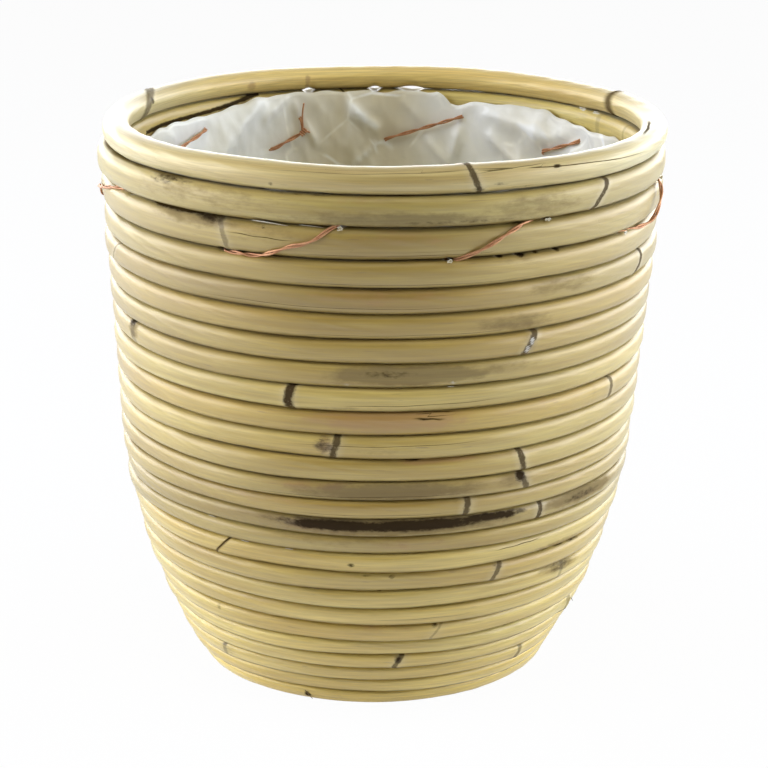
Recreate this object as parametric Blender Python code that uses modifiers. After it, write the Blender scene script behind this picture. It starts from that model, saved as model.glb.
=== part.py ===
"""Round flower pot of bent rattan cane with a film liner sewn in.

Level hoops of cane are stacked from the foot to the rim. Each hoop is one cane bent to a
circle, with its two ends cut on a slant and butted in a scarf joint. The outer faces follow
a straight, slightly tapered wall that turns in to the foot. A flat spiral of cane closes the
bottom, a film bag lines the inside, and one copper wire sews the film to the third cane down.

Metres, +Z up. The origin is in the middle of the foot, on the ground. Azimuths are in
degrees from the front (-Y) towards +X.
"""

import math

import bmesh
import bpy
import numpy as np
from mathutils import Matrix, Vector

# Wall outline, followed by the outer faces of the canes; the rim stands a little inside it
WALL_RADIUS = 0.1230
RIM_SETBACK = 0.0018
WALL_TAPER = math.radians(4.4)
STRAIGHT_DEPTH = 0.127
BOWL_RADIUS = 0.250

# Canes, sorted by thickness before they are bent: hoops in a bundle, and their thickness
RIM_CANE = 0.0120
WALL_BUNDLES = ((2, 0.0117), (3, 0.0104), (6, 0.0099), (4, 0.0078), (5, 0.0089), (5, 0.0077))
CANE_GAP = 0.0003
FOOT_FLAT = 0.0005

# Scarf joints: slant of the cut to the cane's own direction, and where the joints lie
SCARF_SLANT = math.radians(42.0)
SCARF_GAP = 0.0003
RIM_JOINT = 119.0
FRONT_JOINT_HOOP_NUMBER = 16
FRONT_JOINT = -36.0
BACK_JOINT = 187.5
JOINT_STEP = 15.0
JOINTS_IN_A_ROW = 5

# Bottom: a spiral of one cane
BASE_CANE = 0.0077
BASE_RISE = 0.0015
BASE_COIL_GAP = 0.0007
BASE_CORE_RADIUS = 0.0065

# Film liner
FILM_THICKNESS = 0.0004
FILM_GAP = 0.0003
FILM_HEM = 0.0100
PIN_LENGTH = 0.010

# Copper wire that holds the film: it goes round one cane in a running stitch
WIRE_DIAMETER = 0.0010
WIRE_CLEARANCE = 0.0003
LACED_HOOP_NUMBER = 2
OUTER_STITCHES = (
    (210, 232), (250, 262), (282, 300), (328, 353), (373, 393),
    (416, 438), (458, 480), (495, 519), (540, 561),
)
KNOT_AZIMUTH = 204.5
KNOT_STANDOFF = 0.003
TAIL_LENGTH = 0.010

# Facets
SEGMENTS = 24
CANE_SIDES = 8
TUBE_RESOLUTION = 1
STITCH_STEPS = 8
HOLE_SIDES = 8
HALVINGS = 50

CANE_COLOUR = (0.66, 0.49, 0.25)
FILM_COLOUR = (0.78, 0.78, 0.75)
COPPER_COLOUR = (0.62, 0.22, 0.11)


def clear_scene():
    """Remove whatever the scene holds."""
    for scene_object in list(bpy.data.objects):
        bpy.data.objects.remove(scene_object, do_unlink=True)


def new_collection(name):
    """Add a collection to the scene."""
    collection = bpy.data.collections.new(name)
    bpy.context.scene.collection.children.link(collection)
    return collection


def take_active(name, collection):
    """Name the object that a primitive has just made, and move it to its collection."""
    made = bpy.context.active_object
    made.name = name
    made.data.name = name
    for old in list(made.users_collection):
        old.objects.unlink(made)
    collection.objects.link(made)
    return made


def add_material(target, colour, roughness, metallic=0.0, alpha=1.0):
    """Give an object its own material."""
    material = bpy.data.materials.new(target.name)
    material.use_nodes = True
    shader = material.node_tree.nodes["Principled BSDF"]
    shader.inputs["Base Color"].default_value = (*colour, 1.0)
    shader.inputs["Roughness"].default_value = roughness
    shader.inputs["Metallic"].default_value = metallic
    shader.inputs["Alpha"].default_value = alpha
    material.diffuse_color = (*colour, alpha)
    target.data.materials.append(material)


def place(azimuth, radius, height):
    """Turn an azimuth in degrees, a radius and a height into a point."""
    angle = math.radians(azimuth)
    return Vector((radius * math.sin(angle), -radius * math.cos(angle), height))


def wall_point(run):
    """Follow the outline down from the rim's level for a distance run.

    Returns the radius, the depth below the rim's centre and the wall's lean: a straight
    stretch at the taper, then an arc whose lean grows by run / BOWL_RADIUS.
    """
    straight = STRAIGHT_DEPTH / math.cos(WALL_TAPER)
    down = min(run, straight)
    radius = WALL_RADIUS - down * math.sin(WALL_TAPER)
    depth = down * math.cos(WALL_TAPER)
    lean = WALL_TAPER + max(run - straight, 0.0) / BOWL_RADIUS
    radius -= BOWL_RADIUS * (math.cos(WALL_TAPER) - math.cos(lean))
    depth += BOWL_RADIUS * (math.sin(lean) - math.sin(WALL_TAPER))
    return radius, depth, lean


def cane_centre(run, cane):
    """Centre of a cane whose outer face touches the outline at run."""
    radius, depth, lean = wall_point(run)
    radius -= cane / 2 * math.cos(lean)
    depth -= cane / 2 * math.sin(lean)
    return radius, depth, lean


def stack_hoops():
    """Stack the canes down the wall, each against the one above it.

    Returns a dictionary for each hoop with its cane, radius and height of its centre, and lean.
    """
    canes = [cane for count, cane in WALL_BUNDLES for _ in range(count)]
    rim_radius = WALL_RADIUS - RIM_SETBACK - RIM_CANE / 2
    hoops = [{"cane": RIM_CANE, "radius": rim_radius, "depth": 0.0, "lean": WALL_TAPER}]
    run = 0.0
    for number, cane in enumerate(canes, start=1):
        above = hoops[-1]
        laced = number in (LACED_HOOP_NUMBER, LACED_HOOP_NUMBER + 1)
        gap = WIRE_DIAMETER + 2 * WIRE_CLEARANCE if laced else CANE_GAP
        spacing = (above["cane"] + cane) / 2 + gap
        low, high = run, run + 2 * spacing
        for _ in range(HALVINGS):
            run = (low + high) / 2
            radius, depth, lean = cane_centre(run, cane)
            if math.hypot(radius - above["radius"], depth - above["depth"]) < spacing:
                low = run
            else:
                high = run
        hoops.append({"cane": cane, "radius": radius, "depth": depth, "lean": lean})
    rim_height = hoops[-1]["depth"] + hoops[-1]["cane"] / 2 - FOOT_FLAT
    for hoop in hoops:
        hoop["height"] = rim_height - hoop["depth"]
    return hoops


def joint_azimuth(number):
    """Where a hoop's ends meet: staggered across the back, apart from the two that show."""
    if number == 0:
        return RIM_JOINT
    if number == FRONT_JOINT_HOOP_NUMBER:
        return FRONT_JOINT
    offset = (2 * number) % JOINTS_IN_A_ROW - JOINTS_IN_A_ROW // 2
    return BACK_JOINT + offset * JOINT_STEP


def cut_away(target, cutter):
    """Cut one object with another by a Boolean modifier."""
    cut = target.modifiers.new("cut " + cutter.name, "BOOLEAN")
    cut.operation = "DIFFERENCE"
    cut.object = cutter


def hide_cutter(cutter):
    """Show a cutter as wire only."""
    cutter.hide_render = True
    cutter.display_type = "WIRE"


def saw_cut(name, hoop, azimuth, cutters):
    """A thin slab across a cane: the saw's slanted cut between the hoop's two ends."""
    bpy.ops.mesh.primitive_cube_add(size=1.0)
    slab = take_active(name, cutters)
    slab.data.transform(Matrix.Diagonal((SCARF_GAP, 2 * hoop["cane"], 3 * hoop["cane"], 1.0)))
    slab.rotation_euler = (0.0, math.pi / 2 - SCARF_SLANT, math.radians(azimuth))
    slab.location = place(azimuth, hoop["radius"], hoop["height"])
    hide_cutter(slab)
    return slab


def make_hoop(name, number, hoop, tone, parts, cutters):
    """One bent cane: a ring of round section, opened by its scarf joint."""
    bpy.ops.mesh.primitive_torus_add(
        major_segments=SEGMENTS,
        minor_segments=CANE_SIDES,
        major_radius=hoop["radius"],
        minor_radius=hoop["cane"] / 2,
    )
    ring = take_active(name, parts)
    ring.location.z = hoop["height"]
    ring.data.shade_smooth()
    cut_away(ring, saw_cut(name + "_saw_cut", hoop, joint_azimuth(number), cutters))
    add_material(ring, tuple(tone * channel for channel in CANE_COLOUR), 0.45)
    return ring


def sand_foot(foot, hoop, cutters):
    """Take the lowest FOOT_FLAT off the foot hoop, so that it stands on a flat face."""
    bpy.ops.mesh.primitive_cube_add(size=1.0)
    block = take_active("foot_sander", cutters)
    block.data.transform(Matrix.Diagonal((3 * hoop["radius"], 3 * hoop["radius"], hoop["cane"], 1.0)))
    block.location.z = -hoop["cane"] / 2
    hide_cutter(block)
    cut_away(foot, block)


def make_tube(name, points, diameter, collection):
    """A round bar along a line of points: a poly curve with filled ends."""
    curve = bpy.data.curves.new(name, "CURVE")
    curve.dimensions = "3D"
    curve.bevel_depth = diameter / 2
    curve.bevel_resolution = TUBE_RESOLUTION
    curve.use_fill_caps = True
    spline = curve.splines.new("POLY")
    spline.points.add(len(points) - 1)
    for spline_point, point in zip(spline.points, points):
        spline_point.co = (*point, 1.0)
    tube = bpy.data.objects.new(name, curve)
    collection.objects.link(tube)
    return tube


def base_spiral(foot):
    """Centre line of the bottom's spiral, from the foot hoop in to the middle.

    The outer turn nests against the foot hoop: the two centres are one cane and a gap apart.
    """
    height = BASE_RISE + BASE_CANE / 2
    reach = (foot["cane"] + BASE_CANE) / 2 + CANE_GAP
    step_in = math.sqrt(max(reach ** 2 - (height - foot["height"]) ** 2, 0.0))
    outer = foot["radius"] - step_in
    pitch = BASE_CANE + BASE_COIL_GAP
    steps = int((outer - BASE_CORE_RADIUS) / pitch * SEGMENTS)
    return [
        place(360.0 * step / SEGMENTS, outer - pitch * step / SEGMENTS, height)
        for step in range(steps + 1)
    ]


def self_gap(points, diameter):
    """Least gap between the turns of a tube, measured on points a quarter step apart."""
    line = np.array(points)
    parts = np.linspace(0.0, 1.0, 4, endpoint=False)[:, None, None]
    fine = ((1 - parts) * line[:-1] + parts * line[1:]).transpose(1, 0, 2).reshape(-1, 3)
    apart = np.linalg.norm(fine[:, None, :] - fine[None, :, :], axis=2)
    steps = np.abs(np.arange(len(fine))[:, None] - np.arange(len(fine))[None, :])
    apart[steps < 2 * SEGMENTS] = np.inf
    return apart.min() - diameter


def film_outline(hoops):
    """Outer outline of the film from its top edge to the middle, as radius and height.

    It lies a gap inside the canes: one point on the first and last cane of each bundle, the
    top edge a hem above the stitches, and the flat bottom on the spiral.
    """
    bottom = BASE_RISE + BASE_CANE + FILM_GAP
    first = 1
    touched = set()
    for count, _ in WALL_BUNDLES:
        touched.update((first, first + count - 1))
        first += count
    touched.add(len(hoops) - 2)
    points = []
    for number in sorted(touched):
        hoop = hoops[number]
        off = hoop["cane"] / 2 + FILM_GAP
        radius = hoop["radius"] - off * math.cos(hoop["lean"])
        height = hoop["height"] + off * math.sin(hoop["lean"])
        if height > bottom + hoop["cane"] / 4:
            points.append((radius, height))
            lean = hoop["lean"]
    top = lacing_heights(hoops)[0] + FILM_HEM
    hem_radius = points[0][0] + (top - points[0][1]) * math.tan(WALL_TAPER)
    rim_clear = hoops[0]["radius"] - hoops[0]["cane"] / 2 - FILM_GAP
    points[0] = (min(hem_radius, rim_clear), top)
    last_radius, last_height = points[-1]
    points.append((last_radius - (last_height - bottom) * math.tan(lean), bottom))
    points.append((0.0, bottom))
    return points


def lacing_heights(hoops):
    """Heights of the two grooves that the wire goes through, above and below the laced cane."""
    above, laced, below = hoops[LACED_HOOP_NUMBER - 1:LACED_HOOP_NUMBER + 2]
    upper = (above["height"] - above["cane"] / 2 + laced["height"] + laced["cane"] / 2) / 2
    lower = (laced["height"] - laced["cane"] / 2 + below["height"] + below["cane"] / 2) / 2
    return upper, lower


def film_radius(hoops, height):
    """Outer radius of the film at a height."""
    outline = film_outline(hoops)[::-1][1:]
    return float(np.interp(height, [point[1] for point in outline], [point[0] for point in outline]))


def make_liner(hoops, parts, cutters):
    """The film bag: a turned shell, open at the top, with a hole at each stitch's end."""
    outline = film_outline(hoops)
    mesh = bpy.data.meshes.new("liner")
    vertices = [(radius, 0.0, height) for radius, height in outline]
    mesh.from_pydata(vertices, [(i, i + 1) for i in range(len(vertices) - 1)], [])
    liner = bpy.data.objects.new("liner", mesh)
    parts.objects.link(liner)
    turn = liner.modifiers.new("turn", "SCREW")
    turn.steps = SEGMENTS
    turn.render_steps = SEGMENTS
    turn.use_merge_vertices = True
    turn.merge_threshold = 0.0001
    turn.use_normal_calculate = True
    skin = liner.modifiers.new("film", "SOLIDIFY")
    skin.thickness = FILM_THICKNESS
    skin.offset = -1.0
    skin.use_even_offset = True
    cut_away(liner, stitch_holes(hoops, cutters))
    add_material(liner, FILM_COLOUR, 0.3, alpha=0.5)
    return liner


def stitch_holes(hoops, cutters):
    """Pins that pierce the film where the wire goes through it."""
    upper, lower = lacing_heights(hoops)
    ends = [(start, lower) for start, _ in OUTER_STITCHES]
    ends += [(end, upper) for _, end in OUTER_STITCHES]
    lay_flat = Matrix.Rotation(math.pi / 2, 4, "X")
    holes = bmesh.new()
    for azimuth, height in ends:
        centre = place(azimuth, film_radius(hoops, height), height)
        turn = Matrix.Rotation(math.radians(azimuth), 4, "Z")
        bmesh.ops.create_cone(
            holes,
            cap_ends=True,
            segments=HOLE_SIDES,
            radius1=WIRE_DIAMETER / 2 + WIRE_CLEARANCE,
            radius2=WIRE_DIAMETER / 2 + WIRE_CLEARANCE,
            depth=PIN_LENGTH,
            matrix=Matrix.Translation(centre) @ turn @ lay_flat,
        )
    mesh = bpy.data.meshes.new("stitch_holes")
    holes.to_mesh(mesh)
    holes.free()
    pins = bpy.data.objects.new("stitch_holes", mesh)
    cutters.objects.link(pins)
    hide_cutter(pins)
    return pins


def wire_route(hoops):
    """Centre line of the lacing wire, from the tail at the knot all the way round.

    An outer stitch goes half round the cane, at reach from its centre, while its azimuth
    runs on. An inner stitch lies on the film, clear of its facets, and goes back down.
    """
    laced = hoops[LACED_HOOP_NUMBER]
    upper, lower = lacing_heights(hoops)
    reach = (upper - lower) / 2

    def inside(azimuth, height, slack=0.0):
        facet = math.cos(math.pi / SEGMENTS)
        film = (film_radius(hoops, height) - FILM_THICKNESS) * facet
        return place(azimuth, film - WIRE_CLEARANCE - WIRE_DIAMETER / 2 - slack, height)

    middle = (upper + lower) / 2
    first, last = OUTER_STITCHES[0][0], OUTER_STITCHES[-1][1]
    route = [
        inside(KNOT_AZIMUTH, upper + TAIL_LENGTH, KNOT_STANDOFF),
        inside(KNOT_AZIMUTH, middle, KNOT_STANDOFF),
        inside(first, lower),
    ]
    for number, (start, end) in enumerate(OUTER_STITCHES):
        for step in range(STITCH_STEPS + 1):
            share = step / STITCH_STEPS
            angle = math.pi * (share - 0.5)
            radius = laced["radius"] + reach * math.cos(angle)
            route.append(place(start + share * (end - start), radius, middle + reach * math.sin(angle)))
        if number + 1 < len(OUTER_STITCHES):
            next_start = OUTER_STITCHES[number + 1][0]
            route.append(inside(end, upper))
            route.append(inside((end + next_start) / 2, middle))
            route.append(inside(next_start, lower))
    route.append(inside(last, upper))
    route.append(inside((last + KNOT_AZIMUTH + 360) / 2, middle, KNOT_STANDOFF / 2))
    return route


def build_pot():
    """Model the whole pot."""
    clear_scene()
    parts = new_collection("flower_pot")
    cutters = new_collection("cutters")
    pot = bpy.data.objects.new("flower_pot", None)
    parts.objects.link(pot)

    hoops = stack_hoops()
    made = []
    for number, hoop in enumerate(hoops):
        name = f"wall_hoop_{number:02d}"
        if number == 0:
            name = "rim_hoop"
        elif number == len(hoops) - 1:
            name = "foot_hoop"
        tone = 1.0 + 0.06 * math.sin(2.4 * number)
        made.append(make_hoop(name, number, hoop, tone, parts, cutters))
    sand_foot(made[-1], hoops[-1], cutters)

    spiral = base_spiral(hoops[-1])
    base = make_tube("base_coil", spiral, BASE_CANE, parts)
    add_material(base, CANE_COLOUR, 0.5)
    made.append(base)
    print(f"base_coil: least gap between turns {1000 * self_gap(spiral, BASE_CANE):.2f} mm")

    made.append(make_liner(hoops, parts, cutters))
    wire = make_tube("lacing_wire", wire_route(hoops), WIRE_DIAMETER, parts)
    add_material(wire, COPPER_COLOUR, 0.35, metallic=0.9)
    made.append(wire)
    for piece in made:
        piece.parent = pot
    print(f"rim centre at {1000 * hoops[0]['height']:.1f} mm, {len(made)} pieces")


build_pot()
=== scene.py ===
# %% [markdown]
# # A flower pot of bent cane
#
# The pot is twenty-six canes bent to hoops and pinned one on the other, with a flat spiral of
# cane for a bottom, a film bag inside, and one twisted copper wire that sews the bag to the
# third cane down. The measured model gives every hoop's place. It is loaded first, and each
# new piece below is worked out from it, so that nothing has to be fitted by hand.

# %% Load the measured frame
import math

import bpy
import numpy as np
from mathutils import Matrix, Vector


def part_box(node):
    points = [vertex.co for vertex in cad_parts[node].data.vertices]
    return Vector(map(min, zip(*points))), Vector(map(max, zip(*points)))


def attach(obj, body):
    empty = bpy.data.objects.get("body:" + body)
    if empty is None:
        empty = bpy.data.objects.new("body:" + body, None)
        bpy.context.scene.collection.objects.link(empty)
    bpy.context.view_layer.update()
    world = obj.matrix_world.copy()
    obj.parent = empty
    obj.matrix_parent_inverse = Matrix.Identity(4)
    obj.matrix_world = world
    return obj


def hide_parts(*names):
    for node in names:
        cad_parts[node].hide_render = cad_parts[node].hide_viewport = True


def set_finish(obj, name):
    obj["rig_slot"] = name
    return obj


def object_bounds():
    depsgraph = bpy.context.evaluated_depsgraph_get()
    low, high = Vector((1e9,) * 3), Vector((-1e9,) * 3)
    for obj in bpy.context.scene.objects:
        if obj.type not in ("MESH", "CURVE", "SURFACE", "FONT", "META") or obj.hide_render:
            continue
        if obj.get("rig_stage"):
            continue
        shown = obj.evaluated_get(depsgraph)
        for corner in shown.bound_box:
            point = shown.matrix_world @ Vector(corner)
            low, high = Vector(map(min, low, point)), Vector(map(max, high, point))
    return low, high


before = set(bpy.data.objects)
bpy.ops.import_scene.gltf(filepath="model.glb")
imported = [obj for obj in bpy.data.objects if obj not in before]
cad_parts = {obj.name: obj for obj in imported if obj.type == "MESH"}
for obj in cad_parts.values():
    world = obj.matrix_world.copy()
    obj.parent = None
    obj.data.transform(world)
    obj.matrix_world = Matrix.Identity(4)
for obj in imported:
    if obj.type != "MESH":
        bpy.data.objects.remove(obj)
cad_low, cad_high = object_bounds()
print("measured model, mm:", [round(1000 * side) for side in cad_high - cad_low])

# %% [markdown]
# ## The hoops' own numbers
#
# A hoop is three numbers: the radius of its centre line, its height, and half the thickness
# of its cane. They can be read off the box of each solid, because a ring's box touches its
# outermost and its highest line. The foot is the one exception: it is sanded flat below, so
# it takes its thickness from the cane above it.

# %% Read radius, height and half thickness off the boxes
NAMES = ["rim_hoop", *[f"wall_hoop_{n:02d}" for n in range(1, 25)], "foot_hoop"]


def hoop_numbers(name, half=None):
    """Centre radius, height and half thickness of a hoop, from the box of its solid."""
    low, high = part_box(name)
    half = half or (high.z - low.z) / 2
    return high.x - half, high.z - half, half


hoops = [hoop_numbers(name) for name in NAMES[:-1]]
hoops.append(hoop_numbers(NAMES[-1], hoops[-1][2]))
hoops = np.array(hoops)
RIM, LACED, JOINTED, FOOT = 0, 2, 16, len(hoops) - 1
RIM_HEIGHT = hoops[RIM, 1]
print("rim centre, mm:", (1000 * hoops[RIM]).round(1), "foot:", (1000 * hoops[FOOT]).round(1))

# %% [markdown]
# ## The camera
#
# The picture looks down on the rim by about seventeen degrees through a long lens. The camera
# could be aimed by eye, but its place is better worked out from three directions: right, up
# and ahead. The long lens keeps the hoops' curves as flat as they are in the picture.

# %% Place the camera
PITCH, ROLL = math.radians(17.06), math.radians(-0.48)
LENS, FAR_CLIP = 117.19, 20.0
TO_RIGHT, BELOW_RIM, DISTANCE = 0.00052, 0.11322, 1.0775
level = np.array([1.0, 0.0, 0.0])
rise = np.array([0.0, math.sin(PITCH), math.cos(PITCH)])
ahead = np.array([0.0, math.cos(PITCH), -math.sin(PITCH)])
right = math.cos(ROLL) * level - math.sin(ROLL) * rise
up = math.sin(ROLL) * level + math.cos(ROLL) * rise
eye = np.array([0.0, 0.0, RIM_HEIGHT]) + TO_RIGHT * right - BELOW_RIM * up - DISTANCE * ahead

camera = bpy.data.objects.new("camera", bpy.data.cameras.new("camera"))
bpy.context.scene.collection.objects.link(camera)
camera.data.lens = LENS
camera.data.clip_end = FAR_CLIP
placed = np.eye(4)
placed[:3] = np.stack([right, up, -ahead, eye], 1)
camera.matrix_world = Matrix(placed.tolist())
bpy.context.scene.camera = camera
bpy.context.scene.view_settings.view_transform = "Standard"
print("camera at, m:", eye.round(3))

# %% [markdown]
# ## Helpers for shader nodes
#
# A material is a small network of nodes, and written out node by node it hides what is being
# worked out. So a node's output is wrapped in a small class that can stand in a sum: every
# plus, minus, times and over adds a Math node. The other helpers each add one kind of node,
# and find the network to add it to from the outputs that they are given.

# %% Node helpers
class Out:
    """A node's output that can stand in a sum: + - * / and abs() each add a Math node."""

    def __init__(self, socket):
        self.socket, self.tree = socket, socket.id_data

    def __add__(self, other):
        return calc("ADD", self, other)

    def __mul__(self, other):
        return calc("MULTIPLY", self, other)

    def __sub__(self, other):
        return calc("SUBTRACT", self, other)

    def __rsub__(self, other):
        return calc("SUBTRACT", other, self)

    def __truediv__(self, other):
        return calc("DIVIDE", self, other)

    def __abs__(self):
        return calc("ABSOLUTE", self)

    __radd__, __rmul__ = __add__, __mul__


def fill(node, sockets):
    """Link or set a node's sockets, by name or number. A colour is red, green and blue."""
    for key, value in sockets.items():
        socket = node.inputs[key]
        if isinstance(value, Out):
            value.tree.links.new(value.socket, socket)
        else:
            socket.default_value = (*value, 1.0) if socket.type == "RGBA" else value


def put(tree, kind, sockets=None, **settings):
    """Add a node with its settings, and fill its sockets."""
    made = tree.nodes.new("ShaderNode" + kind)
    for key, value in settings.items():
        setattr(made, key, value)
    fill(made, sockets or {})
    return made


def outs(node):
    """A node's outputs by name, ready for sums."""
    return {socket.name: Out(socket) for socket in node.outputs}


def tree_of(*values):
    """The network that the first output among some values belongs to."""
    return next(value.tree for value in values if isinstance(value, Out))


def calc(operation, *values):
    """A Math node's result."""
    made = put(tree_of(*values), "Math", dict(enumerate(values)), operation=operation)
    return Out(made.outputs[0])


def largest(first, *others):
    """The largest of some values."""
    for other in others:
        first = calc("MAXIMUM", first, other)
    return first


def mask(value, low, high):
    """0 below low, 1 above high, and a smooth step between."""
    bounds = {"Value": value, "From Min": low, "From Max": high}
    return outs(put(value.tree, "MapRange", bounds, interpolation_type="SMOOTHSTEP"))["Result"]


def tint(factor, first, second, how="MIX"):
    """Mix two colours."""
    sockets = {0: factor, 6: first, 7: second}
    made = put(tree_of(factor, first, second), "Mix", sockets, data_type="RGBA", blend_type=how)
    return Out(made.outputs[2])


def noise(place, stretch, detail=2.0, roughness=0.5):
    """Noise on stretched coordinates: a small stretch along one axis draws it out that way."""
    moved = Out(put(place.tree, "Mapping", {"Vector": place, "Scale": stretch}).outputs[0])
    sockets = {"Vector": moved, "Scale": 1.0, "Detail": detail, "Roughness": roughness}
    return outs(put(place.tree, "TexNoise", sockets))["Fac"]


def bump(height, strength, distance):
    """The normal of a surface that is raised by a height."""
    sockets = {"Strength": strength, "Distance": distance, "Height": height}
    return Out(put(height.tree, "Bump", sockets).outputs[0])


def attribute(tree, name):
    """A vector that was stored on a piece's points."""
    return outs(put(tree, "Attribute", attribute_name=name))["Vector"]


def object_place(tree):
    """A point's own coordinates."""
    return outs(put(tree, "TexCoord"))["Object"]


def parts_of(vector):
    """The three numbers of a vector."""
    return [Out(socket) for socket in put(vector.tree, "SeparateXYZ", {0: vector}).outputs]


def new_group(name, inputs, outputs):
    """An empty node group with named inputs and outputs: its tree, its inputs, its end node."""
    kinds = {"value": "NodeSocketFloat", "vector": "NodeSocketVector", "colour": "NodeSocketColor"}
    tree = bpy.data.node_groups.new(name, "ShaderNodeTree")
    for way, sockets in (("INPUT", inputs), ("OUTPUT", outputs)):
        for title, kind in sockets.items():
            tree.interface.new_socket(title, in_out=way, socket_type=kinds[kind])
    return tree, outs(tree.nodes.new("NodeGroupInput")), tree.nodes.new("NodeGroupOutput")


def use_group(tree, group, sockets):
    """Place a node group with its own values, and return its outputs."""
    return outs(put(tree, "Group", sockets, node_tree=group))


def new_material(name):
    """A material with its node tree, its shader and its output."""
    material = bpy.data.materials.new(name)
    material.use_nodes = True
    tree = material.node_tree
    return material, tree, tree.nodes["Principled BSDF"], tree.nodes["Material Output"]


# %% [markdown]
# ## The table and the light
#
# The pot stands on a white table in a light tent: white cloth at both sides, above and behind,
# and nothing but the camera in front. That is why the picture is darkest down its middle and
# pales towards both edges, and why the lower half of each cane, which looks down at the
# table, is lighter than the upper half. Two wide, cool lamps stand at the sides, a little
# behind the pot, and a weaker, warm one hangs high in front. They don't show in reflections:
# there the cane sees the tent instead, bright all round and dark in front.

# %% Table and backdrop
WHITE = (1.0, 1.0, 1.0)


def white_for_the_camera(name, share):
    """A matt white that the camera and reflections see as plain white, with some shadow left."""
    material, tree, shader, output = new_material(name)
    fill(shader, {"Base Color": (0.90, 0.90, 0.885), "Roughness": 0.9})
    path = outs(put(tree, "LightPath"))
    seen = largest(path["Is Camera Ray"], 0.4 * path["Is Glossy Ray"], path["Is Transmission Ray"])
    glow = put(tree, "Emission", {"Color": WHITE, "Strength": 1.0})
    sockets = {0: share * seen, 1: Out(shader.outputs[0]), 2: Out(glow.outputs[0])}
    fill(output, {"Surface": Out(put(tree, "MixShader", sockets).outputs[0])})
    return material


def table_top():
    """A square of 12 m at height 0, under the pot."""
    mesh = bpy.data.meshes.new("table")
    mesh.from_pydata([(-6, -6, 0), (6, -6, 0), (6, 6, 0), (-6, 6, 0)], [], [(0, 1, 2, 3)])
    table = bpy.data.objects.new("table", mesh)
    bpy.context.scene.collection.objects.link(table)
    mesh.materials.append(white_for_the_camera("table_white", 0.96))
    table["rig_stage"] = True


table_top()
world = bpy.data.worlds.new("light_tent")
bpy.context.scene.world = world
world.use_nodes = True
sky = world.node_tree
path = outs(put(sky, "LightPath"))
_, forward, upward = parts_of(outs(put(sky, "TexCoord"))["Generated"])
front = -1.0 * forward
lit = 0.25 * (1.0 - 0.85 * mask(front, 0.15, 0.75)) * (1.0 - 0.55 * mask(upward, 0.1, 0.9))
mirrored = (5.1 - 5.05 * mask(front, 0.35, 0.9)) * (1.0 - 0.85 * mask(upward, 0.05, 0.6))
strength = tint(path["Is Glossy Ray"], lit, mirrored)
strength = tint(largest(path["Is Camera Ray"], path["Is Transmission Ray"]), strength, WHITE)
fill(sky.nodes["Background"], {"Color": strength})
print("table and tent stand")

# %% Lamps
POT_MIDDLE = 0.12


def lamp(name, azimuth, elevation, distance, size, power, colour):
    """A soft lamp, aimed at the pot's middle. Azimuth runs from the front to the right."""
    data = bpy.data.lights.new(name, "AREA")
    data.shape, data.energy, data.color = "RECTANGLE", power, colour
    data.size, data.size_y = size
    made = bpy.data.objects.new(name, data)
    bpy.context.scene.collection.objects.link(made)
    turn, lift = math.radians(azimuth), math.radians(elevation)
    out = np.array([math.sin(turn) * math.cos(lift), -math.cos(turn) * math.cos(lift), math.sin(lift)])
    made.location = (0, 0, POT_MIDDLE) + out * distance
    made.rotation_mode = "QUATERNION"
    made.rotation_quaternion = Vector(out).to_track_quat("Z", "Y")
    made.visible_glossy = False
    print(f"{name}: {power} W at azimuth {azimuth}")


lamp("left_lamp", -94, 9, 1.2, (1.6, 1.0), 24.6, (0.98, 1.10, 1.48))
lamp("right_lamp", 93, 9, 1.2, (1.6, 1.0), 22.0, (0.94, 1.07, 1.36))
lamp("top_lamp", 0, 68, 1.5, (1.0, 1.0), 9.0, (1.00, 0.95, 0.76))

# %% [markdown]
# ## What a cane's surface carries
#
# Cane is a climbing palm's stem: round, solid, with a hard pale skin full of long fibres.
# Every 20 to 30 cm it has a node, where a leaf sheath grew, and there the stem is a little
# thicker and a dark scar runs round it. Mould leaves grey and black stains, drying opens hair
# cracks along the fibres, and rough handling leaves dents. Here each of these is one row in a
# table, under its hoop's number: where along the hoop, where round its section, how large and
# how strong. Section angles are 0 on the outer face and 90 on top.

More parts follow.
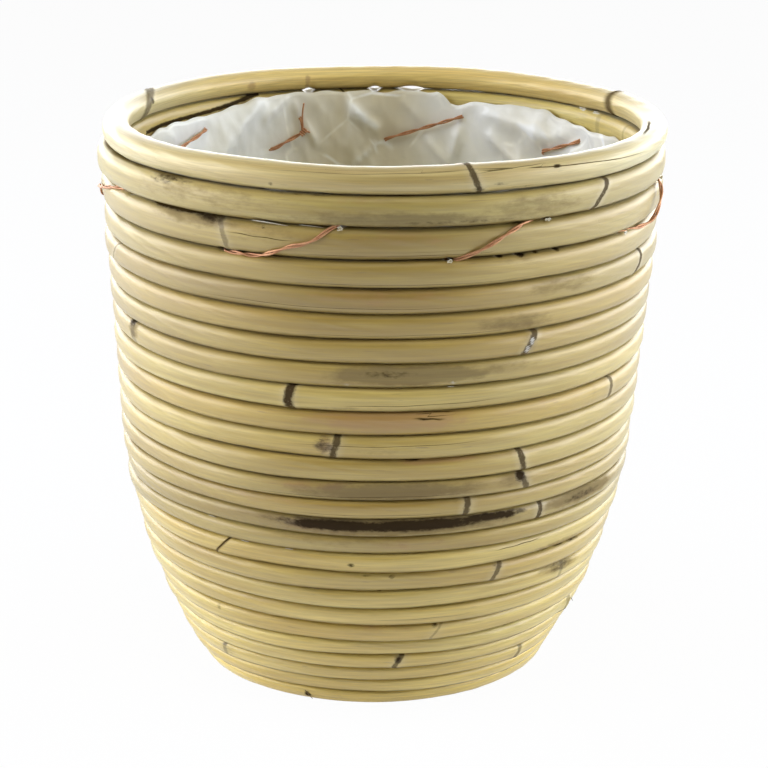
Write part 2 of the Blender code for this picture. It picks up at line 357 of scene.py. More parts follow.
# %% Nodes: azimuth, then in mm the scar's lean, bow and twist, its half width, darkness, swelling
SCARS = {
    0: [(17.5, -2.4, 0, 0, 0.95, 0.88, 0.35), (-111, -6, -8.5, 0, 3.4, 0.75, 0.45)],
    1: [
        (45.5, 1.5, 1.6, 2.4, 1.1, 0.9, 0.3), (118, 0.5, 0, 0, 1.3, 0.22, 0.25),
        (104, 0.8, 0, 0, 0.9, 0.22, 0.25),
    ],
    2: [(-31, -1.9, 0.5, 0, 0.9, 0.5, 0.3)],
    4: [(-68, 4, -2.5, 0, 0.7, 0.5, 0.25), (63.5, 3.5, 4, 0, 1, 0.9, 0.3)],
    6: [(31, 2.1, 0, 0.8, 1.2, 0.85, 0.3)],
    7: [(-62, -1.5, 0, 0, 1.8, 0.45, 0.25)],
    8: [(-16.7, -0.4, -1.9, 0.5, 1.6, 1, 0.4)],
    9: [(57, 0.5, 1.5, 0, 0.9, 0.75, 0.25)],
    10: [(-8.5, 0.4, 0.4, 0.6, 1.2, 0.9, 0.3)],
    11: [(31.5, -1.6, 0, 0, 1.1, 0.9, 0.3)],
    12: [(32.5, -2, 0, 0, 1.1, 0.8, 0.3)],
    13: [(19, -0.3, 1.2, 0.5, 1, 0.85, 0.3)],
    14: [(37.5, 0.6, 1.5, 0, 0.9, 0.92, 0.25)],
    17: [(29, 2, 0, 0, 0.9, 0.75, 0.2)],
    18: [(50.5, 0.3, 0, 0, 0.8, 0.35, 0.2)],
    20: [(16, 3, 0, 0, 0.5, 0.35, 0.1)],
    21: [(65, 0.5, 0.5, 0, 1.2, 0.5, 0.9)],
    22: [(7, 0.3, 0.3, 1.2, 0.9, 0.8, 0.35)],
    23: [(46.5, 0.8, 0, 0, 0.9, 0.6, 0.35), (-46.5, 0.5, 0, 0, 0.9, 0.5, 0.2)],
}


def joint_azimuth(number):
    """Where the ends of a hoop meet: right rear on the rim, left front on hoop 16, else behind."""
    fixed = {RIM: 114.5, JOINTED: -36.0}
    return fixed.get(number, 187.5 + ((2 * number) % 5 - 2) * 15.0)


# %% Nodes out of the picture, about 20 to 25 cm apart, so every cane has its own
HIDDEN_PLACES, PLACE_SPREAD = (112.0, 172.0, 232.0), 20.0
NODE_CHANCE, NODES_APART = 0.72, 45.0
HIDDEN_SWELLING = 0.3
for number in range(2, len(hoops)):
    chance = np.random.default_rng(40 + number)
    rows = SCARS.setdefault(number, [])
    shown = [row[0] for row in rows] + [joint_azimuth(number)]
    for start in HIDDEN_PLACES:
        azimuth = start + chance.uniform(-PLACE_SPREAD, PLACE_SPREAD)
        apart = [abs((azimuth - other + 180.0) % 360.0 - 180.0) for other in shown]
        if chance.random() < NODE_CHANCE and min(apart) > NODES_APART:
            shape = chance.normal(0.0, (1.6, 0.8, 0.8))
            width, darkness = chance.uniform(0.6, 1.6), chance.uniform(0.5, 1.0)
            rows.append((azimuth, *shape, width, darkness, HIDDEN_SWELLING))
            shown.append(azimuth)
print(sum(map(len, SCARS.values())), "nodes on", len(hoops), "canes")

# %% Stains: azimuth, section angle, half length in mm, half height in degrees, strength
DARK = {
    0: [
        (-110, 158, 2.2, 26, 0.6), (-21, -28, 1.2, 14, 0.5), (18.5, -35, 4, 14, 0.5),
        (22.5, -20, 6, 9, 0.42), (27.5, -42, 9, 8, 0.42), (34.5, 30, 2.2, 10, 0.8),
    ],
    1: [
        (-47, 35, 9, 12, 0.45), (-45, 55, 14, 22, 0.55), (-16, 62, 24, 10, 0.35), (-12, 60, 4, 8, 0.5),
        (14, -35, 30, 12, 0.35),
    ],
    2: [(-43, 68, 22, 20, 0.95), (-34, 60, 9, 30, 0.7), (-22.5, 42, 1.4, 14, 0.6)],
    3: [(23.5, 72, 1.8, 24, 1), (28, 70, 2.2, 28, 1), (31.5, 72, 1.6, 22, 0.9), (36.5, 70, 1.5, 26, 1)],
    4: [(54, -78, 26, 14, 0.95)],
    5: [(54, 76, 26, 12, 0.85)],
    7: [(-62.5, 48, 3.5, 24, 0.8), (2, 10, 14, 22, 0.42)],
    9: [(10, 22, 4.5, 5, 0.7), (12, 55, 6, 5, 0.5)],
    10: [(-10.8, 5, 5, 50, 0.5)],
    11: [(7.5, 58, 6, 12, 0.85)],
    12: [(31.4, 30, 2.6, 34, 0.9)],
    13: [(17, 35, 1.6, 16, 0.4)],
    14: [(-7, 12, 28, 36, 0.95), (9, 14, 34, 38, 0.95), (25, 22, 19, 27, 0.85), (52, 5, 16, 30, 0.5)],
    16: [(-5, -12, 1.8, 14, 0.7), (42, -72, 24, 14, 0.75)],
    17: [
        (-14, -74, 5.5, 10, 0.9), (-1.5, 30, 3, 9, 0.5), (4, 22, 1.8, 12, 0.6), (7, -60, 3.5, 9, 0.8),
        (29, 25, 3, 30, 0.45), (35.5, 68, 6, 16, 0.85), (37, -70, 6, 22, 1), (42.5, 58, 5, 12, 0.8),
        (48, 54, 4, 10, 0.7), (53.5, 48, 6, 16, 0.6),
    ],
    18: [(1.5, 60, 1.6, 18, 0.8), (12, 76, 7, 12, 0.9), (50.5, 20, 8, 40, 0.42)],
    20: [(-42, 15, 1.8, 26, 0.5), (15.5, 35, 1.5, 22, 0.6)],
    22: [(7, 5, 1.8, 30, 0.7)],
    23: [(-46.5, 30, 2.2, 30, 0.5)],
    25: [(-20, -20, 1.5, 26, 0.85)],
}
GREY = {
    1: [(-36, 20, 50, 60, 0.4), (3, -30, 46, 36, 0.75), (30, 0, 30, 60, 0.5)],
    2: [(-38, 40, 26, 34, 0.7), (-22, 30, 20, 50, 0.35)],
    3: [(29, 40, 17, 40, 0.35)],
    4: [(38.5, 10, 24, 40, 0.55)],
    5: [(27.5, -10, 20, 42, 0.65)],
    6: [(31, 0, 4, 60, 0.5)],
    7: [(-62, 20, 6, 60, 0.7), (6, 4, 33, 46, 1.1), (25, 10, 22, 36, 0.45)],
    8: [(0, -40, 50, 14, 0.35)],
    9: [(50, 0, 8, 60, 0.3)],
    10: [(-11, 5, 4.4, 60, 0.55), (0, -5, 24, 36, 0.3)],
    12: [(3, 0, 40, 60, 0.85), (30, 20, 10, 50, 0.6)],
    14: [(5, 10, 56, 64, 1), (52, 10, 28, 50, 0.9)],
    15: [(-5, 20, 46, 50, 0.35)],
    16: [(47.5, -50, 22, 30, 0.6)],
    18: [(50.5, 30, 16, 50, 0.6)],
    21: [(-44, 0, 10, 60, 0.3)],
    23: [(-46, 0, 8, 60, 0.4)],
}
RUST = {
    0: [(199, 190, 1.6, 44, 0.8), (214, 190, 3, 30, 0.6)],
    1: [(-3, 45, 24, 30, 0.3)],
    2: [(5, 30, 40, 60, 0.3)],
    4: [(0, 25, 34, 50, 0.45)],
    5: [(-66, 20, 20, 40, 0.3)],
    9: [(3, 20, 36, 60, 0.8), (40, 20, 40, 60, 0.3)],
    10: [(-10.4, 5, 4, 56, 0.6)],
    11: [(10, 45, 14, 18, 0.8), (17.5, 45, 9, 12, 0.95)],
    12: [(-12, 30, 24, 40, 0.45)],
    13: [(-24, 30, 20, 50, 0.35)],
    14: [(-14, 5, 14, 34, 0.7)],
    15: [(6, 10, 20, 60, 0.4)],
    16: [(0, 62, 20, 26, 0.4)],
    17: [(-12, 30, 26, 50, 0.3)],
    19: [(-60, 0, 20, 60, 0.25)],
    20: [(2, 35, 20, 36, 0.5)],
    22: [(40, 0, 20, 60, 0.25)],
}
PALE = {
    1: [(-10, -62, 10, 12, 0.45), (12, -62, 30, 12, 0.5)],
    6: [(30.4, -25, 0.9, 20, 0.9), (31.4, 10, 0.9, 20, 0.9)],
    7: [(-6, -40, 2, 14, 0.4), (15, -40, 2, 14, 0.45)],
    10: [(-11, -30, 2, 16, 0.15)],
    14: [(-6, -72, 4, 14, 0.8), (0, -74, 5, 12, 0.7), (10, -76, 3, 10, 0.6), (15, -74, 3, 12, 0.7)],
}

# %% Cracks: azimuth, section angle, half length in mm, rise of the far end in degrees, half width in mm
CRACKS = {
    0: [(38, 27, 42, -20, 0.2), (74, 98, 16, 18, 0.6), (25, 40, 13, 10, 0.12), (-2, 38, 34, 4, 0.07)],
    1: [(-16.6, -80, 2.5, 0, 0.9), (-20.5, -58, 9, -8, 0.3)],
    2: [(-23, 8, 12, -4, 0.12), (4, -38, 40, 2, 0.07)],
    3: [(5, -38, 44, 0, 0.07)],
    4: [(-10, -28, 50, 0, 0.06)],
    5: [(5, -35, 40, 3, 0.06)],
    8: [(8, -22, 30, 4, 0.09)],
    9: [(10.5, 22, 5.5, -4, 0.3), (12, 54, 7, -4, 0.22)],
    10: [(3, 10, 34, 6, 0.08)],
    12: [(-4, -30, 40, 4, 0.07)],
    13: [(0, -30, 30, 2, 0.06)],
    16: [(34, 20, 10, 4, 0.14)],
    17: [(37, -62, 6, 8, 0.55)],
    19: [(12, -20, 18, 2, 0.06)],
}

# %% A shadow painted on hoop 1 just above the film's edge at the back left: azimuth and height in mm
GAP = [
    (210.5, 231.2), (214, 229.9), (220, 227.5), (226, 226.2), (232, 225.5), (238, 225.2), (244, 225),
    (253, 224.4),
]
GAP_MIDDLE, GAP_REACH = 232, 21

# %% Stitches: where each comes out of the groove below the laced hoop, and goes in above it
STITCHES = [
    (210, 228.5), (256, 265), (272, 300), (328, 352.5), (373, 393), (416, 439), (458, 483.5),
    (496.5, 519.5), (539.5, 561),
]

# %% Dents: azimuth, section angle, half length in mm, half height in degrees, depth in mm
DENTS = {
    0: [
        (118.5, -118, 9, 34, 0.5), (173.5, -112, 5, 44, 1), (182, -112, 2.5, 44, 1),
        (198, -112, 2.4, 44, 1),
    ],
    1: [
        (-24, -50, 12, 14, 0.3), (173.5, 104, 5, 50, 1.8), (182, 104, 2.5, 50, 1.8),
        (198, 104, 2.4, 50, 1.7), (220.5, 156, 17, 20, 0.3), (245, 186, 14, 14, 0.4),
    ],
    2: [(-80, -30, 5, 40, 0.7)],
    3: [(23.5, 84, 1.8, 24, 0.5), (28, 84, 2.2, 26, 0.7), (36.5, 84, 1.6, 24, 0.5)],
    17: [(37, -78, 6, 26, 0.6)],
    18: [(37, 78, 5, 20, 0.3)],
}
WIRE_DENT = (1.9, 36, 0.72)
for start, end in STITCHES:
    below = [(LACED, start, -90), (LACED + 1, start, 90)]
    above = [(LACED, end, 90), (LACED - 1, end, -90)]
    for number, azimuth, angle in below + above:
        DENTS[number].append((azimuth, angle, *WIRE_DENT))

# %% Tones: how light each cane is, rim first, and how warm, where 1 is golden and -1 is grey
LIGHT = [
    1.02, 0.8, 0.73, 0.74, 0.66, 0.77, 0.72, 0.8, 1, 0.82, 0.95, 0.9, 0.77, 0.77, 0.69, 0.78, 1.1, 0.92,
    1.15, 1.16, 1.22, 1.25, 1.32, 1.25, 1.42, 1.52,
]
WARMTH = [
    -0.2, -0.9, 0.4, 0.4, 1, 0.9, 0.7, 0.4, -0.3, 1.3, -0.3, -0.1, 0.3, 0.7, 0.4, 0.1, -0.2, 0.5, -0.5,
    -0.6, -0.2, -0.6, -0.5, -0.2, -0.4, -0.7,
]

# %% Stretches that differ: azimuth, half length in degrees, how much lighter and warmer
STRETCHES = {
    0: [(180, 65, 0.34, 1.3), (85, 42, 0.12, -0.9), (-80, 42, 0.08, -0.9), (-112, 22, 0.04, -0.7)],
    1: [(135, 45, 0.8, -1.2), (235, 30, 0.36, 0.2)],
    4: [(0, 20, -0.08, 0.4)],
    8: [(-38, 18, 0.08, -0.2)],
    9: [(4, 14, -0.06, 0.8)],
    10: [(-30, 18, 0.06, -0.2)],
    12: [(0, 24, -0.08, 0.1)],
    14: [(-20, 14, -0.1, 0.2)],
    16: [(10, 40, 0.04, -0.1)],
}
tables = (DARK, GREY, RUST, PALE, CRACKS, DENTS)
print("stains, cracks and dents:", sum(len(rows) for table in tables for rows in table.values()))

# %% [markdown]
# ## One bent cane
#
# A hoop could be a torus, but a torus has no ends, no waver and no nodes. Here it is a
# function of two numbers: how far round the pot, and how far round the cane's section. The
# section is a little squarer than a circle, and each cane is pressed flat where it meets the
# next, as in the real stack. The grid is finer on the outer face, and the whole grid leans
# with the saw's slant, so that its two ends are the cut faces of the scarf joint.

# %% The grid, the scarf joints, and how far the pot leans to the left
ALONG = 720
SCARF_RUN, RIM_RUN = 1.0 / math.tan(math.radians(42.0)), 0.3
SCARF_GAP = 0.00018
LEAN = 0.0129

# %% How a cane's ends miss each other, in m, and how many mm a metre's distance from them counts for in the painted shade at the joint
END_STEPS, PLAIN_STEPS = {RIM: (0.00036, 0.00045), JOINTED: (0.00020, 0.00055)}, (0.00012, 0.00015)
END_FADE, PLAIN_FADE = {RIM: 120, JOINTED: 550}, 1000

# %% The section: its power, its height on the rim, how far canes are squashed, and the laced one's gap
SQUARENESS, RIM_SQUARENESS = 3.0, 2.2
RIM_SLIM, RIM_BACK_SLIM = 0.925, 0.04
SQUASH, PRESSED, PRESS_SOFT, LACED_GAP = 0.00007, 0.00001, 0.00008, 0.00012
CANE_APART = 3.7


# %% Helpers for arrays of points
def stack(*values):
    """Vectors from arrays of numbers that are first widened to one shape."""
    return np.stack(np.broadcast_arrays(*values), -1)


def unit(vectors):
    """The same directions at length one."""
    return vectors / np.linalg.norm(vectors, axis=-1)[..., None]


def circle(count):
    """Equal steps round a full turn."""
    return np.linspace(0.0, 2 * np.pi, count, endpoint=False)


def wrap(angle):
    """The same angle between minus and plus half a turn."""
    return (angle + np.pi) % (2 * np.pi) - np.pi


def at(azimuth, radius, height):
    """Points at an azimuth (radians, from the front to the right), a radius and a height.

    The hoops were set a little further left the lower they are, as in the picture: the
    sideways step grows with the distance below the rim.
    """
    side = radius * np.sin(azimuth) + LEAN * (height - RIM_HEIGHT)
    return stack(side, -radius * np.cos(azimuth), height)


def waver(azimuth, seed, turns, size):
    """A sum of sines that closes on itself round the pot, size high: sine k waves k times a turn."""
    chance = np.random.default_rng(seed)
    count = np.arange(turns[0], turns[1] + 1)
    share = chance.normal(size=count.size)
    share *= 1.4 * size / np.linalg.norm(share)
    shift = chance.uniform(0, 2 * np.pi, count.size)
    return sum(s * np.sin(k * azimuth + f) for s, k, f in zip(share, count, shift))


# %% How much of each mark a point has
def along_cane(number, azimuth, where):
    """Distance in mm along a hoop's centre line from an azimuth in degrees."""
    return 1000 * hoops[number, 0] * wrap(azimuth - math.radians(where))


def patches(table, number, azimuth, angle):
    """The strongest of some flat-topped spots: strength times exp(-r cubed).

    r is the length of (x, y), where x is the distance along the cane over the spot's half
    length, and y the turn round the section over its half height.
    """
    total = np.zeros(np.broadcast(azimuth, angle).shape)
    for where, height, length, tall, strength in table.get(number, []):
        x = along_cane(number, azimuth, where) / length
        y = np.degrees(wrap(angle - math.radians(height))) / tall
        total = np.maximum(total, strength * np.exp(-((x * x + y * y) ** 1.5)))
    return total


def gap_shade(azimuth, angle, height):
    """The painted shadow above the film's edge on a cane's inner face: exp(-1.2 d squared), d across in units
    of 1.2 mm.
    """
    turn, line = np.array(GAP).T
    where = np.degrees(azimuth) % 360
    d = (1000 * height - np.interp(where, turn, line) - 0.4) / 1.2
    inside = (np.abs(where - GAP_MIDDLE) < GAP_REACH) & (np.cos(angle) < 0.2)
    return inside * np.exp(-1.2 * d * d)


def nearest_scar(number, azimuth, angle):
    """Signed distance in mm to the nearest scar line, that scar's half width and darkness, and
    how far the nodes swell the cane, in mm.

    The line's place along the cane is its lean times the sine of the section angle, plus its
    bow times the cosine, plus its twist times the sine of twice the angle.
    """
    shape = np.broadcast(azimuth, angle).shape
    best, half = np.full(shape, 1000.0), np.ones(shape)
    depth, swelling = np.zeros(shape), np.zeros(shape)
    for where, lean, bow, twist, width, dark, swell in SCARS.get(number, []):
        line = lean * np.sin(angle) + bow * np.cos(angle) + twist * np.sin(2 * angle)
        away = along_cane(number, azimuth, where) - line
        near = np.abs(away) < np.abs(best)
        best = np.where(near, away, best)
        half = np.where(near, width, half)
        depth = np.where(near, dark, depth)
        swelling += swell * (np.exp(-((away / 3.2) ** 2)) - 0.45 * np.exp(-((away / 0.9) ** 2)))
        swelling += 0.35 * swell * np.where(away > 0, np.exp(-away / 14.0), 0.0)
    return stack(best, half, depth), swelling


def nearest_crack(number, azimuth, angle):
    """Signed distance in mm across to the nearest crack, its half width, and how open it is."""
    shape = np.broadcast(azimuth, angle).shape
    best, width, strength = np.full(shape, 50.0), np.full(shape, 0.1), np.zeros(shape)
    for where, height, length, climb, half in CRACKS.get(number, []):
        x = along_cane(number, azimuth, where) / length
        turned = wrap(angle - np.radians(height + climb * x) - 0.02 * np.sin(7 * x))
        across = 1000 * hoops[number, 2] * turned
        far = np.abs(across) + 20.0 * np.clip(np.abs(x) - 1.1, 0.0, 2.0)
        near = far < np.abs(best)
        best, width = np.where(near, across, best), np.where(near, half, width)
        open_here = np.exp(-(x ** 6)) * np.clip(3.0 - far / (1.0 + half), 0.0, 1.0)
        strength = np.where(near, open_here, strength)
    return stack(best, width, strength)


def cane_tone(number, azimuth):
    """A cane's colour as shares of red, green and blue: lighter or darker, golden or grey."""
    light = LIGHT[number] * (1.0 + waver(azimuth, 900 + number, (1, 6), 0.035))
    warm = WARMTH[number] + waver(azimuth, 950 + number, (1, 5), 0.25)
    for where, wide, lighter, warmer in STRETCHES.get(number, []):
        share = np.exp(-((np.degrees(wrap(azimuth - math.radians(where))) / wide) ** 4))
        light, warm = light * (1 + lighter * share), warm + warmer * share
    return stack(light * (1 + 0.03 * warm), light * (1 - 0.02 * warm), light * (1 - 0.17 * warm))


# %% The surface function of a cane
def press(place, toward, limit):
    """Hold back what reaches past limit in one direction, with a soft stop."""
    over = (place * toward).sum(-1) - limit
    return place - toward * (PRESS_SOFT * np.logaddexp(0.0, over / PRESS_SOFT))[..., None]


def neighbour(number, other):
    """Which way a neighbour lies, where the two canes meet, and how tall this cane is on that side.

    Canes are squashed a little where they touch. Beside the laced cane the wire keeps them
    apart, and each is drawn taller until only a narrow gap is left.
    """
    half = hoops[number, 2]
    if not 0 <= other < len(hoops):
        return {"tall": half, "touches": False}
    way = hoops[other, :2] - hoops[number, :2]
    gap = np.linalg.norm(way)
    limit = gap * half / (half + hoops[other, 2])
    touches = LACED not in (number, other)
    spare = gap - half - hoops[other, 2]
    tall = limit + SQUASH if touches else half + spare / 2 - LACED_GAP
    return {"way": way / gap, "limit": limit, "touches": touches, "tall": tall}


def section(number, angle, swelling=0.0, stretch=1.0):
    """Outward and upward distance from a cane's centre line to its skin, at an angle.

    The reach is the half thickness over the p-norm of (cos, sin), where p is 2 for a circle
    and more for a squarer shape. The section is turned to stand square to the wall, and is
    as tall as its neighbours leave room for.
    """
    half = hoops[number, 2]
    above, below = neighbour(number, number - 1), neighbour(number, number + 1)
    axis = hoops[max(number - 1, 0), :2] - hoops[min(number + 1, FOOT), :2]
    lean = -math.atan2(axis[0], axis[1])
    cos, sin = np.cos(angle - lean), np.sin(angle - lean)
    power = RIM_SQUARENESS if number == RIM else SQUARENESS
    size = (np.abs(cos) ** power + np.abs(sin) ** power) ** (-1 / power)
    size = size * half * stretch + swelling
    slim = RIM_SLIM if number == RIM else 1.0
    out = size * cos
    high = size * sin * np.where(sin > 0, above["tall"], below["tall"]) / half * slim
    return stack(out * math.cos(lean) - high * math.sin(lean), out * math.sin(lean) + high * math.cos(lean))


def on_cane(number, azimuth, angle, off=0.0):
    """Points on a cane's skin, or off it by some distance. Azimuth and section angle in degrees."""
    radius, height, _ = hoops[number]
    local = section(number, np.radians(angle))
    local = local + np.asarray(off)[..., None] * unit(local)
    return at(np.radians(azimuth), radius + local[..., 0], height + local[..., 1])


def cane_grid(number):
    """The surface of a hoop as a grid of points, and the marks that it carries.

    The section follows the hoop round. Nodes swell it, dents and a slow waver change it, and
    the two faces that meet its neighbours are pressed flat. Each waver has a seed of its own,
    and each cane its own stretch of the fibres' noise.
    """
    radius, height, half = hoops[number]
    around, outward = (52, 0.0) if number < LACED else (28, 0.5)
    turn = circle(around)[None, :]
    angle = wrap(turn - outward * np.sin(turn))
    share = np.linspace(0.0, 1.0, ALONG + 1)[:, None]
    gap = SCARF_GAP / radius
    slant = half * np.sin(angle) * (RIM_RUN if number == RIM else SCARF_RUN) / radius
    azimuth = math.radians(joint_azimuth(number)) + gap + share * (2 * np.pi - 2 * gap) + slant
    place = (number, azimuth, angle)
    from_start, from_end = (part * 2 * np.pi * radius for part in (share, 1 - share))

    scar, swelling = nearest_scar(*place)
    bumps = 0.001 * (swelling - patches(DENTS, *place))
    bumps = bumps + waver(azimuth + 0.3 * np.sin(angle), 700 + number, (20, 60), 0.00004)
    slim = 1.0 - RIM_BACK_SLIM * (1 - np.cos(azimuth)) if number == RIM else 1.0
    local = section(number, angle, bumps, slim * (1.0 + waver(azimuth, 300 + number, (3, 11), 0.010)))
    first, last = END_STEPS.get(number, PLAIN_STEPS)
    step = first * np.exp(-from_start / 0.020) - last * np.exp(-from_end / 0.016)
    local[..., 0] += waver(azimuth, 100 + number, (2, 7), 0.00034) + step
    local[..., 1] += waver(azimuth, 500 + number, (2, 9), 0.00010)
    if number == RIM:
        local[..., 0] += 0.00105 * np.sin(azimuth) + 0.00075 * np.sin(azimuth) ** 2
        local[..., 1] += 0.0006 * np.exp(-from_end / 0.018) - 0.0003 * np.exp(-from_start / 0.018)
        local[..., 1] -= (1 - RIM_SLIM * slim) * half
    above, below = neighbour(number, number - 1), neighbour(number, number + 1)
    for side in (above, below):
        if side["touches"]:
            local = press(local, side["way"], side["limit"] - PRESSED)
    points = at(azimuth, radius + local[..., 0], height + local[..., 1])
    if number == FOOT:
        points[..., 2] = np.maximum(points[..., 2], 0.0)

    stain = [patches(table, *place) for table in (DARK, GREY, RUST)]
    # Hoop 1 carries the painted shadow above the film's edge along with its dark stains.
    if number == 1:
        stain[0] = np.maximum(stain[0], gap_shade(azimuth, angle, height + local[..., 1]))
    # Where a cane meets its neighbours, most on its lower face, it gets painted shade with some dirt in the
    # groove.
    upright = local[..., 1] / np.where(local[..., 1] > 0, above["tall"], below["tall"])
    groove = np.clip((-upright - 0.74) / 0.18, 0, 1) ** 1.3 * ("way" in below)
    groove = groove + np.clip((upright - 0.94) / 0.06, 0, 1) * ("way" in above)
    ends = np.minimum(from_start, from_end) * END_FADE.get(number, PLAIN_FADE)
    return points, {
        "straight": stack(azimuth * radius + CANE_APART * number, half * np.cos(angle), half * np.sin(angle)),
        "scar": scar,
        "stain": stack(*stain),
        "crack": nearest_crack(*place),
        "tone": cane_tone(number, azimuth),
        "place": stack(groove, ends, patches(PALE, *place)),
    }


# %% From a grid to a mesh
def quads(rows, columns):
    """Corner numbers of the faces of a grid that closes on itself round its columns, row by row."""
    row = np.arange(rows - 1)[:, None] * columns
    first = np.arange(columns)[None, :]
    second = (first + 1) % columns
    corners = [row + first, row + columns + first, row + columns + second, row + second]
    return np.stack(corners, -1).reshape(-1, 4)


def make_mesh(name, points, faces, marks=None):
    """A smooth-shaded object from arrays, with the marks as vector attributes on its points."""
    mesh = bpy.data.meshes.new(name)
    mesh.from_pydata(points, [], faces)
    mesh.shade_smooth()
    for title, values in (marks or {}).items():
        made = mesh.attributes.new(title, "FLOAT_VECTOR", "POINT")
        made.data.foreach_set("vector", np.ascontiguousarray(values, dtype=np.float32).ravel())
    mesh.update()
    made = bpy.data.objects.new(name, mesh)
    bpy.context.scene.collection.objects.link(made)
    return made


def closed_tube(name, grid, marks):
    """A tube from a grid of rings, each end closed by two smaller rings and a middle point.

    Marks are widened to the grid. The end faces take theirs from the ring that they close,
    and "cut" tells them apart.
    """
    def cap(ring, middle):
        return np.stack([middle + share * (ring - middle) for share in (0.985, 0.55)], 0)

    first, last = grid[0].mean(0), grid[-1].mean(0)
    body = np.concatenate([cap(grid[0], first)[::-1], grid, cap(grid[-1], last)])
    columns = grid.shape[1]
    points = np.concatenate([body.reshape(-1, 3), [first, last]])
    faces = quads(len(body), columns).tolist()
    ring = np.arange(columns)
    after = (ring + 1) % columns
    tail = (len(body) - 1) * columns
    faces += np.stack([np.full(columns, len(points) - 2), ring, after], 1).tolist()
    faces += np.stack([np.full(columns, len(points) - 1), tail + after, tail + ring], 1).tolist()
    spread = {}
    for title, values in marks.items():
        values = np.broadcast_to(values, grid.shape)
        start, stop = values[:1], values[-1:]
        grown = np.concatenate([start, start, values, stop, stop]).reshape(-1, 3)
        spread[title] = np.concatenate([grown, [values[0].mean(0), values[-1].mean(0)]])
    cut = np.zeros((len(body), columns, 3))
    cut[:2], cut[-2:] = 1.0, 1.0
    spread["cut"] = np.concatenate([cut.reshape(-1, 3), np.ones((2, 3))])
    return make_mesh(name, points, faces, spread)


# %% Bend and stack the canes
canes = []
for number, name in enumerate(NAMES):
    hoop = closed_tube("cane_" + name, *cane_grid(number))
    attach(hoop, "root")
    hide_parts(name)
    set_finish(hoop, {RIM: "cane_rim", FOOT: "cane_foot"}.get(number, "cane_wall"))
    canes.append(hoop)
print(len(canes), "hoops of", len(canes[RIM].data.polygons), "faces")

# %% [markdown]
# ## The skin of the cane
#
# Cane skin is straw to honey coloured, with long fibres that show as thin streaks, and a dull
# gloss. One picture wrapped round a hoop would repeat and stretch. Instead each point knows
# its place on the cane as if that were still straight, so noise drawn out along the straight
# cane gives the fibres, and the marks stored on the points say where the scars and stains go,
# and where shade is painted into the grooves and at the cut ends.

# %% Group: fibres
fibre, given, result = new_group(
    "cane_fibre",
    {"Straight": "vector", "Pale": "colour", "Deep": "colour", "Tone": "vector"},
    {"Colour": "colour", "Height": "value"},
)
straight = given["Straight"]
slow = noise(straight, (9, 60, 60))
broad = noise(straight, (16, 420, 420), 3.0)
streak = mask(noise(straight, (45, 1500, 1500), 3.0), 0.28, 0.72)
dash = mask(noise(straight, (110, 2100, 2100), 1.0), 0.70, 0.80)
colour = tint(mask(0.6 * slow + 0.85 * broad, 0.36, 1.08), given["Deep"], given["Pale"])
colour = tint(1.0, colour, given["Tone"], "MULTIPLY")
colour = tint(0.34 - 0.34 * streak, colour, (0.27, 0.18, 0.06))
colour = tint(0.45 * dash, colour, (0.20, 0.13, 0.06))
fill(result, {"Colour": colour, "Height": 0.6 * streak + 0.7 * broad})

# %% Group: how far a stain has spread
spread, given, result = new_group(
    "stain_spread", {"Amount": "value", "Straight": "vector", "Grain": "value"}, {"Mask": "value"},
)
coarse = noise(given["Straight"], (120, 330, 330), 4.0, 0.65)
fleck = noise(given["Straight"], (420, 900, 900), 3.0, 0.6)
level = 1.15 * given["Amount"] + (1.3 * tint(given["Grain"], coarse, fleck) - 0.95)
fill(result, {"Mask": mask(level, -0.05, 0.55) * mask(given["Amount"], 0.02, 0.22)})

# %% Group: the dark ring of a scar, and the pale band round it
ring, given, result = new_group(
    "scar_ring", {"Scar": "vector", "Straight": "vector"}, {"Mask": "value", "Halo": "value"},
)
away, width, dark = parts_of(given["Scar"])
ragged = noise(given["Straight"], (500, 420, 420), 3.0, 0.6)
away = abs(away + (2.4 * ragged - 1.2) * calc("MINIMUM", width, 1.0))
speck = mask(noise(given["Straight"], (900, 900, 900)), 0.56, 0.70)
core = (1.0 - mask(away / width, 0.75, 1.75)) * (1.0 - 0.14 * speck)
halo = 1.0 - mask(away, 0.5, 5.0)
fill(result, {"Mask": core * dark, "Halo": halo * dark})

# %% Group: everything that marks a cane, and the shade painted into its grooves and at its cut ends, laid over its fibre colour
wear, given, result = new_group(
    "cane_wear",
    {"Colour": "colour", "Height": "value"},
    {"Colour": "colour", "Height": "value", "Dull": "value"},
)
straight = attribute(wear, "straight")
dark, grey, rust = parts_of(attribute(wear, "stain"))
groove, ends, pale = parts_of(attribute(wear, "place"))
across, width, strength = parts_of(attribute(wear, "crack"))


def spread_of(amount, grain):
    """The ragged mask of one kind of stain."""
    return use_group(wear, spread, {"Amount": amount, "Straight": straight, "Grain": grain})["Mask"]


mouldy, black = spread_of(grey, 0.2), spread_of(dark, 0.5)
scars = use_group(wear, ring, {"Scar": attribute(wear, "scar"), "Straight": straight})
open_by = abs(across) / width * (0.9 * noise(straight, (160, 60, 60)) + 0.55)
split = (1.0 - mask(open_by, 0.5, 1.6)) * strength
# Painted shade, with some dirt, in the grooves, broken up by noise.
groove_shade_and_dirt = groove * (0.6 * noise(straight, (60, 60, 60)) + 0.55)
# Painted shade at the joint: a dark band along both cut ends.
joint_shade = 1.0 - mask(ends, 0.1, 0.7)
